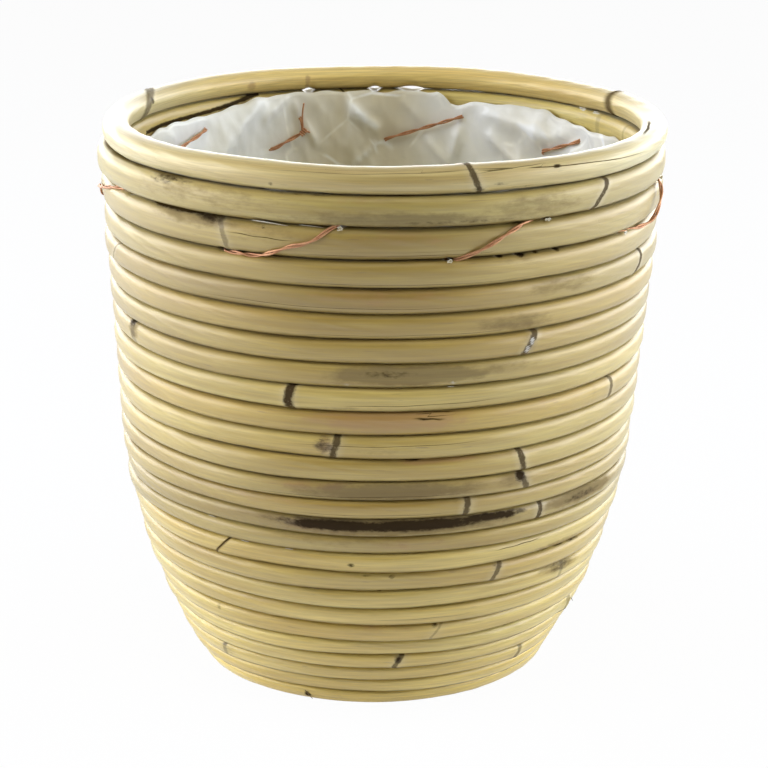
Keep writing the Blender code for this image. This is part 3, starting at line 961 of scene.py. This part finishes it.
# Paints laid on in turn: rust, mould, the scars' pale band and ring, black stains (on hoop 1 also a painted
# shadow), cracks, pale flecks, painted shade and dirt in the grooves, and painted shade at the cut ends.
LAYERS = [
    (spread_of(rust, 0.1), 0.62, (0.40, 0.21, 0.065)),
    (mouldy, 0.60, (0.215, 0.165, 0.105)),
    (scars["Halo"], 0.30, (0.62, 0.54, 0.36)),
    (scars["Mask"], 0.96, (0.046, 0.026, 0.011)),
    (black, 0.97, (0.030, 0.018, 0.008)),
    (split, 0.90, (0.055, 0.036, 0.012)),
    (spread_of(pale, 0.8), 0.80, (0.66, 0.62, 0.52)),
    (groove_shade_and_dirt, 0.95, (0.118, 0.072, 0.010)),
    (joint_shade, 0.85, (0.08, 0.05, 0.025)),
]
colour = given["Colour"]
for share, cover, paint in LAYERS:
    colour = tint(cover * share, colour, paint)
height = given["Height"] - 1.6 * split - 0.8 * scars["Mask"] + mouldy * (0.2 - 0.4 * black)
dull = largest(mouldy, black, groove_shade_and_dirt, scars["Mask"], split, joint_shade)
fill(result, {"Colour": colour, "Height": height, "Dull": dull})


# %% Cane materials
def cane_material(name, pale, deep, rough):
    """Cane skin: fibres, then marks; where the cane is cut across, its end is painted dark brown as shade,
    with darker pores.
    """
    material, tree, shader, _ = new_material(name)
    straight, tone = attribute(tree, "straight"), attribute(tree, "tone")
    grown = use_group(tree, fibre, {"Straight": straight, "Pale": pale, "Deep": deep, "Tone": tone})
    worn = use_group(tree, wear, {title: grown[title] for title in ("Colour", "Height")})
    pores = mask(noise(straight, (10, 1900, 1900)), 0.5, 0.62)
    # The cut face is painted dark brown as shade, with darker pores.
    joint_shade = tint(pores, (0.22, 0.15, 0.07), (0.08, 0.05, 0.02))
    cut = parts_of(attribute(tree, "cut"))[0]
    dull = worn["Dull"]
    fill(shader, {
        "Base Color": tint(cut, worn["Colour"], joint_shade),
        "Roughness": 0.28 * dull + rough,
        "Normal": bump(worn["Height"], 0.5, 0.00012),
        "Specular IOR Level": 0.25 - 0.22 * dull,
        "Coat Weight": 0.95 - 0.95 * dull,
        "Coat Roughness": 0.44,
        "Coat IOR": 1.7,
        "Sheen Weight": 0.24 - 0.24 * dull,
        "Sheen Tint": (0.94, 1.0, 0.84),
        "Sheen Roughness": 0.42,
    })
    return material


PALE_CANE, DEEP_CANE = (0.640, 0.472, 0.115), (0.432, 0.276, 0.040)
finishes = {
    "cane_rim": cane_material("cane_rim", (0.68, 0.54, 0.21), (0.50, 0.35, 0.10), 0.38),
    "cane_wall": cane_material("cane_wall", PALE_CANE, DEEP_CANE, 0.40),
    "cane_foot": cane_material("cane_foot", PALE_CANE, DEEP_CANE, 0.44),
    "cane_base": cane_material("cane_base", (0.60, 0.47, 0.19), (0.42, 0.29, 0.09), 0.48),
}
for hoop in canes:
    hoop.data.materials.append(finishes[hoop["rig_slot"]])
print(len(finishes), "cane finishes share", len(bpy.data.node_groups), "groups")

# %% [markdown]
# ## The bottom
#
# The bottom can't be seen in the picture. A pot like this usually has a flat spiral of the
# same cane, which starts against the lowest hoop and winds in to the middle. The measured
# spiral is a plain tube of few faces, so a finer one takes its place, a little fuller.

# %% Wind the spiral
BASE_HALF, BASE_PITCH, BASE_CORE = 0.00398, 0.0084, 0.0065
SOLID_HALF, BASE_SPARE = 0.00385, 0.0003
BASE_NODES_APART = 0.24
base_low, base_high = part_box("base_coil")
BASE_HEIGHT = (base_low.z + base_high.z) / 2
reach = hoops[FOOT, 2] + SOLID_HALF + BASE_SPARE
BASE_OUTER = hoops[FOOT, 0] - math.sqrt(reach ** 2 - (BASE_HEIGHT - hoops[FOOT, 1]) ** 2)


def spiral_grid(steps, sides):
    """A tube along a flat spiral: the radius falls by one pitch for each turn.

    Steps are equal in length: the turns wound from the core out grow with the square root.
    """
    turns = (BASE_OUTER - BASE_CORE) / BASE_PITCH
    share = np.linspace(0.0, 1.0, steps)[:, None]
    radius = np.sqrt(BASE_OUTER ** 2 - share * (BASE_OUTER ** 2 - BASE_CORE ** 2))
    azimuth = 2 * np.pi * turns * (BASE_OUTER - radius) / (BASE_OUTER - BASE_CORE)
    angle = circle(sides)[None, ::-1]
    length = share * np.pi * turns * (BASE_OUTER + BASE_CORE)
    half = BASE_HALF * (1 + 0.012 * np.sin(azimuth * 2.3) + 0.008 * np.sin(azimuth * 5.1 + angle))
    node = 1000 * wrap(length * 2 * np.pi / BASE_NODES_APART) * BASE_NODES_APART / (2 * np.pi)
    half = half + 0.00012 * np.exp(-((node / 3.0) ** 2))
    out, high = half * np.cos(angle), (half - 0.0001 * np.sin(angle) ** 2) * np.sin(angle)
    # Where the turns touch: painted shade, with some dirt, as in the hoops' grooves.
    groove_shade_between_turns = np.clip((np.abs(np.cos(angle)) - 0.93) / 0.07, 0, 1)
    tone = 1 + 0.05 * np.sin(length * 9)
    dark, grey = np.maximum(np.sin(length * 21 + 1), 0) ** 6, np.maximum(np.sin(length * 13), 0) ** 3
    return at(azimuth, radius + out, BASE_HEIGHT + high), {
        "straight": stack(length + 200.0, out, high),
        "scar": stack(node + 1.2 * np.sin(angle), 0.9, 0.8),
        "stain": stack(0.3 * dark, 0.5 * grey, 0.0),
        "crack": (50.0, 0.1, 0.0),
        "place": stack(groove_shade_between_turns, 1000 * np.minimum(length, length[-1] - length), 0.0),
        "tone": stack(tone, tone, tone - 0.02),
    }


base = closed_tube("cane_base_coil", *spiral_grid(900, 20))
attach(base, "root")
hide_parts("base_coil")
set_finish(base, "cane_base")
base.data.materials.append(finishes["cane_base"])
print("bottom wound from radius", round(1000 * BASE_OUTER, 1), "to", 1000 * BASE_CORE, "mm")

# %% [markdown]
# ## The film bag
#
# The liner is thin milky plastic film, a bag pushed down into the pot and then sewn in, so it
# is never smooth: it lies on the canes, pleats near its edge, and crumples in sharp ridges. A
# cloth simulation gives round folds, which suit fabric better than film. Here the bag is a
# turned outline, and the ridges are worked out: crests of several crossing waves, made sharp,
# with the larger creases of the picture laid over them, and calm where the wire holds it down.

# %% The film's edge: azimuth and height in mm
FILM_EDGE = [
    (0, 226.5), (30, 228), (60, 226), (85, 225), (105, 224.3), (116, 223.2), (122, 223.7), (130, 225.4),
    (137, 227.7), (150, 228.4), (159, 226), (163, 225.8), (166.3, 230.9), (172, 230.9), (177, 231.3),
    (182, 230.7), (188, 231), (197, 230.6), (203, 231.4), (208, 231.3), (211, 230.9), (214, 229.7),
    (220, 227.2), (226, 225.9), (232, 225.2), (238, 225), (244, 224.8), (250, 224.2), (256, 223.8),
    (275, 226), (300, 228.5), (330, 226),
]

# %% The bag's outline
UPPER_GROOVE = (hoops[1, 1] - hoops[1, 2] + hoops[2, 1] + hoops[2, 2]) / 2
LOWER_GROOVE = (hoops[2, 1] - hoops[2, 2] + hoops[3, 1] + hoops[3, 2]) / 2
FILM_TOP, FILM_FLOOR, FILM_OFF = 0.2334, 0.0097, 0.0009
BAG_DEPTH = 290


def distances(line):
    """How far along a line of points each of them lies."""
    return np.concatenate([[0.0], np.cumsum(np.linalg.norm(np.diff(line, axis=0), axis=1))])


def resample(line, count):
    """Points at equal steps along a line of points."""
    along = distances(line)
    even = np.linspace(0.0, along[-1], count)
    return np.stack([np.interp(even, along, part) for part in line.T], 1)


def bag_outline(count):
    """Radius and height down the bag, at equal steps: just inside the canes, then across the floor."""
    inner = hoops[:, 0] - hoops[:, 2] - FILM_OFF
    wall = [(inner[0] - 0.0002, FILM_TOP), *zip(inner[1:], hoops[1:, 1])]
    wall = [point for point in wall if point[1] > FILM_FLOOR + 0.004]
    line = np.array([*wall, (wall[-1][0] - 0.003, FILM_FLOOR), (0.0, FILM_FLOOR)])
    to_end = np.minimum(np.arange(count), np.arange(count)[::-1])
    keep = np.minimum(1.0, to_end / 8.0)[:, None]
    for _ in range(2):
        line = resample(line, count)
        wide = np.pad(line, ((6, 6), (0, 0)), mode="edge")
        soft = sum(wide[k:k + count] for k in range(13)) / 13
        line = keep * soft + (1 - keep) * line
    return line


OUTLINE = bag_outline(400)
print("bag outline, mm:", (1000 * OUTLINE[[0, 200, 399]]).round(1).tolist())

# %% Large creases: azimuth and height in mm of both ends, then height and half width in mm
CREASES = [
    (190, 231, 187.4, 221.5, 3.6, 2.4), (187.4, 221.5, 181.4, 213.2, 3.2, 2),
    (180.5, 207.5, 187.3, 196.2, 1.8, 1.1), (159.5, 222, 161.5, 203, 2.6, 2),
    (168.4, 208.5, 163.4, 198.3, 2.6, 2.2), (152, 223, 125.5, 212.1, 3.4, 4.5),
    (137.5, 227.3, 117, 221.7, 2, 1.5), (214, 228, 226, 203, 4.5, 7), (231, 222, 240, 204, 3, 4),
    (152, 212, 142, 200, 2.6, 3), (174, 226, 168, 212, 1.8, 3.2), (202.5, 224, 197, 207, 2.4, 1.6),
    (205, 229, 211, 220, 2, 1.5), (245, 224, 238, 212, 2.5, 3), (130, 219, 120, 207, 2.2, 2.5),
]

# %% Inner stitches: where each leaves the upper groove, and reaches the lower one. The last has the knot
INSIDE = [(end, start) for (_, end), (start, _) in zip(STITCHES, STITCHES[1:])] + [(561, 570)]
UNROLLED = 0.108


# %% Ridges of the film
def to_segment(azimuth, height, first, second):
    """Distance in mm, on the unrolled wall, from a point to a line between two places."""
    scale = 1000 * UNROLLED
    x = scale * wrap(azimuth - math.radians(first[0]))
    y = 1000 * height - first[1]
    dx = scale * math.radians(second[0] - first[0])
    dy = second[1] - first[1]
    share = np.clip((x * dx + y * dy) / (dx * dx + dy * dy), 0, 1)
    return np.hypot(x - share * dx, y - share * dy)


def crests(azimuth, along, seed, turns, tilt, size, sharp):
    """Crossing waves with sharp crests: (1 - |sin|) to a power, summed over random directions."""
    chance = np.random.default_rng(seed)
    total = 0.0
    for turn in turns:
        lean, shift, bend = chance.uniform(-tilt, tilt), chance.uniform(0, 6.28), chance.uniform(0.3, 0.9)
        bent = bend * np.sin(3 * azimuth + 0.03 * along * turn / 6 + shift)
        wave = turn * azimuth / 2 + lean * along + shift + bent
        total = total + size / turn ** 0.55 * (1 - np.abs(np.sin(wave))) ** sharp
    return total


def film_rise(azimuth, radius, height, along):
    """How far the film stands off the canes, in m: crumples, creases, and calm under the wire."""
    wall = np.clip((height - 0.014) / 0.02, 0, 1)
    rise = crests(azimuth, along, 5, (6, 8, 10, 14, 18), 0.05, 2.6, 3.0)
    rise = rise + crests(azimuth, along, 9, (24, 34, 44), 0.12, 2.4, 2.4)
    rise = rise + crests(azimuth, along, 17, (60, 84), 0.35, 2.0, 1.6)
    rise = rise * (0.45 + 0.55 * wall) * np.clip(radius / 0.03, 0.0, 1.0)
    for a, b, c, d, tall, wide in CREASES:
        rise = rise + tall * np.exp(-((to_segment(azimuth, height, (a, b), (c, d)) / wide) ** 1.4))
    for up, down in INSIDE:
        near = to_segment(azimuth, height, (up, 1000 * UPPER_GROOVE), (down, 1000 * LOWER_GROOVE))
        rise = rise * (0.12 + 0.88 * (1 - np.exp(-((near / 5.0) ** 2))))
    return 0.001 * np.minimum(rise, 9.0)


def film_point(azimuth, share):
    """The bag's surface: azimuth, and the share of the way from its edge to its middle."""
    along = np.linspace(0.0, 1.0, len(OUTLINE))
    edge = np.interp(np.degrees(azimuth) % 360, *zip(*FILM_EDGE), period=360) / 1000
    edge = edge + waver(azimuth, 61, (9, 64), 0.00048)
    top = np.interp(-edge, -OUTLINE[:120, 1], along[:120])
    where = top + share * (1.0 - top)
    radius, height = (np.interp(where, along, part) for part in OUTLINE.T)
    after, before = where + 0.004, where - 0.004
    slope_r, slope_h = (np.interp(after, along, part) - np.interp(before, along, part) for part in OUTLINE.T)
    long = np.maximum(np.hypot(slope_r, slope_h), 1e-9)
    rise = film_rise(azimuth, radius, height, where * BAG_DEPTH)
    rise = rise * (0.35 + 0.65 * np.clip(share / 0.02, 0, 1))
    return at(azimuth, radius + rise * slope_h / long, height - rise * slope_r / long), rise


# %% Places on the bag's two sides where sheen is painted in as whiter, less clear film: azimuth, half width in degrees, how much
MILKY_SHEEN = [(226, 26, 1.0), (132, 25, 0.6), (161, 12, 0.9), (-48, 26, 1.0), (48, 26, 1.0)]


def film_bag(around, down):
    """The bag as a closed grid of rings, the last ring drawn in to a point."""
    azimuth = circle(around)[None, :]
    points, rise = film_point(azimuth, np.linspace(0.0, 1.0, down)[:-1, None])
    ring = np.arange(around)
    last = (down - 2) * around
    middle = np.full(around, (down - 1) * around)
    faces = quads(down - 1, around)[:, ::-1].tolist()
    faces += np.stack([last + (ring + 1) % around, last + ring, middle], 1).tolist()
    milky_sheen = sum(
        much * np.exp(-((wrap(azimuth - math.radians(side)) / math.radians(wide)) ** 4))
        for side, wide, much in MILKY_SHEEN
    )
    # The second number of the fold is the sheen painted on the bag's sides.
    fold = stack(1000 * rise, milky_sheen, 0.0).reshape(-1, 3)
    points = np.concatenate([points.reshape(-1, 3), [points[-1].mean(0)]])
    return make_mesh("film_bag", points, faces, {"fold": np.concatenate([fold, fold[-1:]])})


def thicken(piece, thickness):
    """Give a sheet its thickness, half to each side."""
    skin = piece.modifiers.new("thickness", "SOLIDIFY")
    skin.thickness, skin.offset = thickness, 0.0


bag = film_bag(720, 130)
thicken(bag, 0.00012)
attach(bag, "root")
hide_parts("liner")
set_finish(bag, "liner_film")
print("bag of", len(bag.data.polygons), "faces")

# %% [markdown]
# ## Film finish
#
# The film is half clear, so the canes show through as a grey-brown shade, and whiter where it
# is creased or lies double. On the bag's two sides its sheen is painted in as whiter, less clear
# film. Glass with a rough surface could do this, but it is slow and hides what is behind.
# Alpha is better: a milky white that covers more than half, and most on the creases and the
# painted sheen, with the gloss of plastic on top.

# %% Film material
film, tree, shader, _ = new_material("milky_film")
fold, milky_sheen, _ = parts_of(attribute(tree, "fold"))
place = object_place(tree)
cloud = noise(place, (26, 26, 26))
soft = noise(place, (75, 75, 55), 3.0, 0.45)
sockets = {"Vector": place, "Scale": 36.0}
cells = outs(put(tree, "TexVoronoi", sockets, feature="DISTANCE_TO_EDGE"))["Distance"]
facets = calc("MINIMUM", cells, 0.3)
line = (1.0 - mask(cells, 0.0, 0.045)) * mask(soft, 0.42, 0.60)
line = line * (0.25 + 0.75 * mask(parts_of(place)[2], 0.12, 0.20))
# Whiter and denser on creases and folds, and where sheen is painted on the bag's sides.
white = 0.26 * mask(fold, 1.0, 5.0) + 0.36 * milky_sheen + 0.22 * line + 0.10 * mask(cloud, 0.35, 0.7)
colour = tint(mask(cloud, 0.3, 0.7), (0.93, 0.85, 0.62), (0.95, 0.885, 0.69))
milk_and_sheen = largest(mask(fold, 1.5, 5.0), line, milky_sheen)
fill(shader, {
    "Base Color": tint(milk_and_sheen, colour, (0.985, 0.975, 0.89)),
    "Alpha": white + 0.60,
    "Roughness": 0.25 * soft + 0.26,
    "Specular IOR Level": 0.7,
    "Normal": bump(1.6 * facets + soft, 0.5, 0.0014),
})
bag.data.materials.append(film)
print("film finish made")

# %% [markdown]
# ## The copper wire
#
# Two thin copper strands, lightly twisted, sew the bag in with a running stitch round the
# third cane: outside they climb from the groove below it to the groove above it, and inside
# they go back down over the film. The stitches are sewn by hand, so the four in front each
# take their own line, point by point. A curve object with a round bevel could do it, but the
# twist is easier with a function: one path, and two tubes that turn round it.

# %% The wire's path: section by section, azimuth, section angle and lift in mm
PLAIN_HEIGHTS = (0.2180, 0.2072)
INSIDE_HEIGHTS = {0: (0.2189, 0.2080), 6: (0.2168, 0.2086), 7: (0.2199, 0.2079)}
WIRE_STEP, WIRE_OFF = 0.0007, 0.00088
FRONT_STITCHES = {
    2: [
        (-88, -84, 0), (-86.5, -50, -0.3), (-84, -10, -0.3), (-79, 8, -0.3), (-73, 26, -0.1), (-67, 46, 0),
        (-62.5, 68, 0), (-60, 86, 0),
    ],
    3: [
        (-32, -84, 0), (-30.5, -68, 0.2), (-27.5, -59, 0.3), (-24, -58, 0.3), (-20.5, -36, 0.1),
        (-17, -13, 0.1), (-14.5, -3, 0.1), (-12, 15, 0.1), (-9.5, 46, 0), (-7.5, 86, 0),
    ],
    4: [(13, -86, 0), (14, -72, 0), (19, -20, 0.1), (25, 28, 0.1), (29, 56, 0.1), (33, 86, 0)],
    5: [
        (56, -86, 0), (58.5, -74, 0.2), (64, -64, 1), (68, -44, 1.6), (70, -12, 1.6), (72.5, 20, 1.4),
        (76, 50, 0.9), (79, 84, 0.1),
    ],
}


def outer_stitch(number):
    """Points of one outer stitch: round the outside of the laced cane, from below to above."""
    start, end = STITCHES[number]
    plain = [
        (start + share * (end - start), -86 + 172 * share, 0.2 * math.sin(math.pi * share))
        for share in np.linspace(0, 1, 7)
    ]
    azimuth, angle, off = np.array(FRONT_STITCHES.get(number, plain)).T
    return on_cane(LACED, azimuth, angle, WIRE_OFF + 0.001 * off)


def on_film(azimuth, height, off=0.00108):
    """A point just inside the film at an azimuth in degrees and a height."""
    turn = math.radians(azimuth)
    points, _ = film_point(np.full(200, turn), np.linspace(0.0, 0.2, 200))
    row = points[np.argmin(np.abs(points[:, 2] - height))]
    radius = math.hypot(row[0] - LEAN * (row[2] - RIM_HEIGHT), row[1]) - off
    return at(turn, radius, height)


def smooth_line(points, each=16):
    """A curve through points, by the cubic that takes each point's slope from its two neighbours."""
    points = np.array(points)
    wide = np.concatenate([[2 * points[0] - points[1]], points, [2 * points[-1] - points[-2]]])
    share = np.linspace(0.0, 1.0, each, endpoint=False)[None, :, None]
    a, b, c, d = (wide[k:len(wide) - 3 + k][:, None, :] for k in range(4))
    bend = 2 * a - 5 * b + 4 * c - d + share * (3 * (b - c) + d - a)
    curve = b + 0.5 * share * (c - a + share * bend)
    return np.concatenate([curve.reshape(-1, 3), points[-1:]])


KNOT = on_film(200.7, 0.2124, 0.0022)
route = [KNOT, on_film(204.5, 0.2085, 0.0012), on_film(208.6, LOWER_GROOVE)]
for number, (up, down) in enumerate(INSIDE):
    route.extend(outer_stitch(number))
    high, deep = INSIDE_HEIGHTS.get(number, PLAIN_HEIGHTS)
    if number + 1 < len(STITCHES):
        top, low = on_film(up + 0.6, high), on_film(down - 0.6, deep)
        route.extend([top, 0.65 * top + 0.35 * low, 0.3 * top + 0.7 * low, low])
route.extend([on_film(201.0, UPPER_GROOVE), on_film(200.9, 0.2155, 0.0016), KNOT])
path = smooth_line(route)
path = resample(path, int(distances(path)[-1] / WIRE_STEP) + 1)
print("wire path, m:", round(WIRE_STEP * len(path), 3))


# %% Wire as tubes round a path
def across(path, toward):
    """Two directions across a path, the first as near as can be to a given one."""
    ahead = unit(np.gradient(path, axis=0))
    first = unit(toward - (toward * ahead).sum(-1)[:, None] * ahead)
    return first, np.cross(ahead, first)


def from_laced_cane(path):
    """Which way each point of a path lies from the nearest point of the laced cane's centre line."""
    radius, height, _ = hoops[LACED]
    flat = path - [0.0, 0.0, height]
    flat[:, 0] -= LEAN * (path[:, 2] - RIM_HEIGHT)
    far = np.hypot(flat[:, 0], flat[:, 1])
    return flat - stack(flat[:, 0] * radius / far, flat[:, 1] * radius / far, 0.0)


def wire(name, line, first, second, radius, along):
    """A piece of wire: rings round a line, with the distance along it stored on the points."""
    turn = circle(8)[None, :, None]
    grid = line[:, None] + radius * (np.cos(turn) * first[:, None] + np.sin(turn) * second[:, None])
    made = closed_tube(name, grid, {"along": stack(along, 0.0, 0.0)[:, None]})
    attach(made, "root")
    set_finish(made, "copper_wire")
    return made


def strand(name, path, phase, radius=0.00045, offset=0.00047, pitch=0.019):
    """One strand: the path moved off by a turning offset, swept as a tube with closed ends."""
    first, second = across(path, from_laced_cane(path))
    along = np.arange(len(path)) * WIRE_STEP
    turn = (phase + 2 * np.pi * along / pitch + 0.8 * np.sin(along * 90))[:, None]
    moved = path + offset * (np.cos(turn) * first + np.sin(turn) * second)
    return wire(name, moved, first, second, radius, along + phase)


strands = [strand("wire_strand_1", path, 0.0), strand("wire_strand_2", path, math.pi)]
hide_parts("lacing_wire")


# %% The knot and its loose ends
def coil_path(centre, axis, side, radius, turns, length, count=90):
    """A tight coil: a circle carried along an axis."""
    share = np.linspace(0.0, 1.0, count)[:, None]
    turn = 2 * np.pi * turns * share
    round_it = np.cos(turn) * side + np.sin(turn) * np.cross(axis, side)
    return centre + axis * length * (share - 0.5) + radius * round_it


inward = -KNOT * [1, 1, 0] / np.linalg.norm(KNOT[:2])
sideways = np.cross(inward, [0.0, 0.0, 1.0])
upper_tail = [on_film(200.8, 0.2160, 0.0024), on_film(200.9, 0.2215, 0.0026), on_film(200.8, 0.2264, 0.0036)]
lower_tail = [KNOT - 0.0016 * sideways + [0, 0, 0.0004], KNOT - 0.0034 * sideways + [0, 0, -0.0003]]
beside, above_it = sideways + 0.01 * inward, np.array([0.1, 0.2, 1.0])
for name, line, toward in (
    ("wire_knot", coil_path(KNOT, 0.8 * sideways + [0, 0, -0.6], inward, 0.00105, 3.2, 0.0034), beside),
    ("wire_tail_1", smooth_line([KNOT, *upper_tail]), beside),
    ("wire_tail_2", smooth_line([KNOT, *lower_tail]), above_it),
):
    strands.append(wire(name, line, *across(line, toward), 0.00042, np.linspace(0, 0.01, len(line))))

# %% Copper
copper, tree, shader, _ = new_material("copper_wire")
tarnish = noise(attribute(tree, "along"), (160, 160, 160), 3.0)
scuff = noise(object_place(tree), (1400, 1400, 1400), 3.0)
colour = tint(mask(tarnish, 0.3, 0.72), (0.46, 0.200, 0.086), (0.80, 0.44, 0.225))
fill(shader, {
    "Base Color": tint(0.4 * scuff, colour, (0.20, 0.07, 0.04)),
    "Metallic": 0.5,
    "Roughness": 0.3 * scuff + 0.28,
    "Normal": bump(scuff, 0.3, 0.00005),
})
for made in strands:
    made.data.materials.append(copper)
print(len(strands), "pieces of wire")

# %% [markdown]
# ## Loose ends
#
# Up close the pot is not tidy. A sliver of bark has lifted under the second hoop, fibres stand
# out of the grooves, and where the needle went through, scraps of film were pulled out after
# it. Each sliver is a thin lens laid along the cane between two places on its skin.

# %% Slivers: hoop, azimuth and section angle at both ends, lift, half width and thickness in mm, paleness
SLIVERS = [
    (1, -25, -56, -17.6, -66, 0.8, 0.85, 0.14, 1), (25, -20.8, 8, -18.4, -42, 0.8, 0.24, 0.16, 0),
    (1, -15.6, -66, -10.6, -72, 0.6, 0.65, 0.12, 1), (14, -39.6, -66, -37.2, -70, 0.15, 0.34, 0.14, 0.9),
    (15, -31, -68, -28.8, -73, 0.15, 0.32, 0.14, 0.9), (15, -19.9, -64, -18, -69, 0.15, 0.32, 0.14, 0.9),
    (21, 66, 30, 68.5, -20, 1.2, 0.22, 0.15, 0.2), (18, 10.5, 72, 13.8, 76, 0.25, 0.3, 0.12, 0.1),
    (17, -15, -70, -12.4, -73, 0.25, 0.28, 0.12, 0.1), (7, 14, -60, 15.6, -66, 0.2, 0.3, 0.12, 0.9),
    (9, 96, -40, 99.5, -62, 0.6, 0.22, 0.12, 0.6), (5, 150, -30, 153, -58, 0.7, 0.24, 0.12, 0.7),
    (12, 205, 40, 208, 66, 0.5, 0.22, 0.12, 0.5), (19, 250, -36, 253, -60, 0.6, 0.22, 0.12, 0.6),
    (23, 130, -20, 132.5, -52, 0.6, 0.22, 0.12, 0.3), (3, 270, 50, 274, 70, 0.4, 0.26, 0.12, 0.8),
    (20, 178, 30, 181, 62, 0.4, 0.24, 0.12, 0.6),
]


def sliver_grid(number, turn_1, angle_1, turn_2, angle_2, lift, wide, thick, steps=24, sides=8):
    """A lens between two places on a skin: width and thickness go as the root of sin(pi s)."""
    share = np.linspace(0.0, 1.0, steps)
    height = 0.00032 + 0.001 * lift * share ** 2
    where = (number, turn_1 + share * (turn_2 - turn_1), angle_1 + share * (angle_2 - angle_1))
    line = on_cane(*where, height)
    up = unit(on_cane(*where, height + 0.001) - line)
    side = np.cross(unit(np.gradient(line, axis=0)), up)
    taper = (0.08 + np.sin(np.pi * share) ** 0.5)[:, None, None]
    turn = circle(sides)[None, :, None]
    rim = wide * np.cos(turn) * side[:, None] + thick * np.sin(turn) * up[:, None]
    return line[:, None] + taper * 0.001 * rim


bark, tree, shader, _ = new_material("torn_bark")
grain = noise(object_place(tree), (900, 900, 900), 3.0, 0.6)
colour = tint(parts_of(attribute(tree, "torn"))[0], (0.10, 0.055, 0.022), (0.72, 0.66, 0.50))
fill(shader, {
    "Base Color": tint(0.4 * mask(grain, 0.45, 0.7), colour, (0.34, 0.24, 0.12)),
    "Roughness": 0.2 * grain + 0.6,
    "Normal": bump(grain, 0.4, 0.0001),
})
for count, (*shape, paleness) in enumerate(SLIVERS):
    made = closed_tube(f"sliver_{count:02d}", sliver_grid(*shape), {"torn": paleness})
    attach(made, "root")
    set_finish(made, "cane_wall")
    made.data.materials.append(bark)
print(len(SLIVERS), "slivers")

# %% Scraps of film at the needle's holes, bar some that show none, and two under the rim's joint
NO_SCRAP = (328, 272, 300, 458, 265)
UNDER_JOINT = (123.5, 117.8)


def film_scraps(places, rings=5, spokes=16):
    """Crumpled discs, one a hole: a ragged radius, cupped outwards, with sharp creases."""
    points, faces = [], []
    for seed, (azimuth, height, mouth, stretch) in enumerate(places):
        chance = np.random.default_rng(seed)
        turn = circle(spokes)[None, :]
        share = np.linspace(0.02, 1.0, rings)[:, None]
        size = chance.uniform(1.0, 1.5)
        waves = sum(chance.uniform(0.1, 0.3) * np.sin(k * turn + chance.uniform(0, 6)) for k in (2, 3, 5))
        folds = sum(
            chance.uniform(0.2, 0.4) * np.abs(np.sin(k * turn / 2 + chance.uniform(0, 6))) for k in (3, 4)
        )
        spoke = share * size * (1 + waves)
        along, up = stretch * spoke * np.cos(turn), 0.55 * spoke * np.sin(turn) / stretch ** 0.5
        out = share * (0.9 * size + 0.7 * folds)
        out = out if mouth > hoops[LACED, 0] else -out
        azimuth = math.radians(azimuth) + 0.001 * along / mouth
        points.append(at(azimuth, mouth + 0.001 * out, height + 0.001 * up).reshape(-1, 3))
        faces.append(quads(rings, spokes) + seed * rings * spokes)
    return make_mesh("film_scraps", np.concatenate(points), np.concatenate(faces).tolist())


mouth = hoops[LACED, 0] + 0.8 * hoops[LACED, 2]
holes = [(start, LOWER_GROOVE) for start, _ in STITCHES] + [(end, UPPER_GROOVE) for _, end in STITCHES]
places = [(*hole, mouth, 1.0) for hole in holes if hole[0] not in NO_SCRAP]
inside_rim, over_hoop = hoops[RIM, 0] - 0.80 * hoops[RIM, 2], hoops[1, 1] + hoops[1, 2] + 0.0010
places += [(azimuth, over_hoop, inside_rim, 2.0) for azimuth in UNDER_JOINT]
scraps = film_scraps(places)
thicken(scraps, 0.0001)
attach(scraps, "root")
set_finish(scraps, "liner_film")
scraps.data.materials.append(film)
print("scraps of film:", len(scraps.data.polygons), "faces")

# %% Both boxes, and the dressed model's size, to finish
low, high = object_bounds()
{"cad": [list(cad_low), list(cad_high)], "scene": [list(low), list(high)]}
print("dressed model, mm:", [round(1000 * side) for side in high - low])
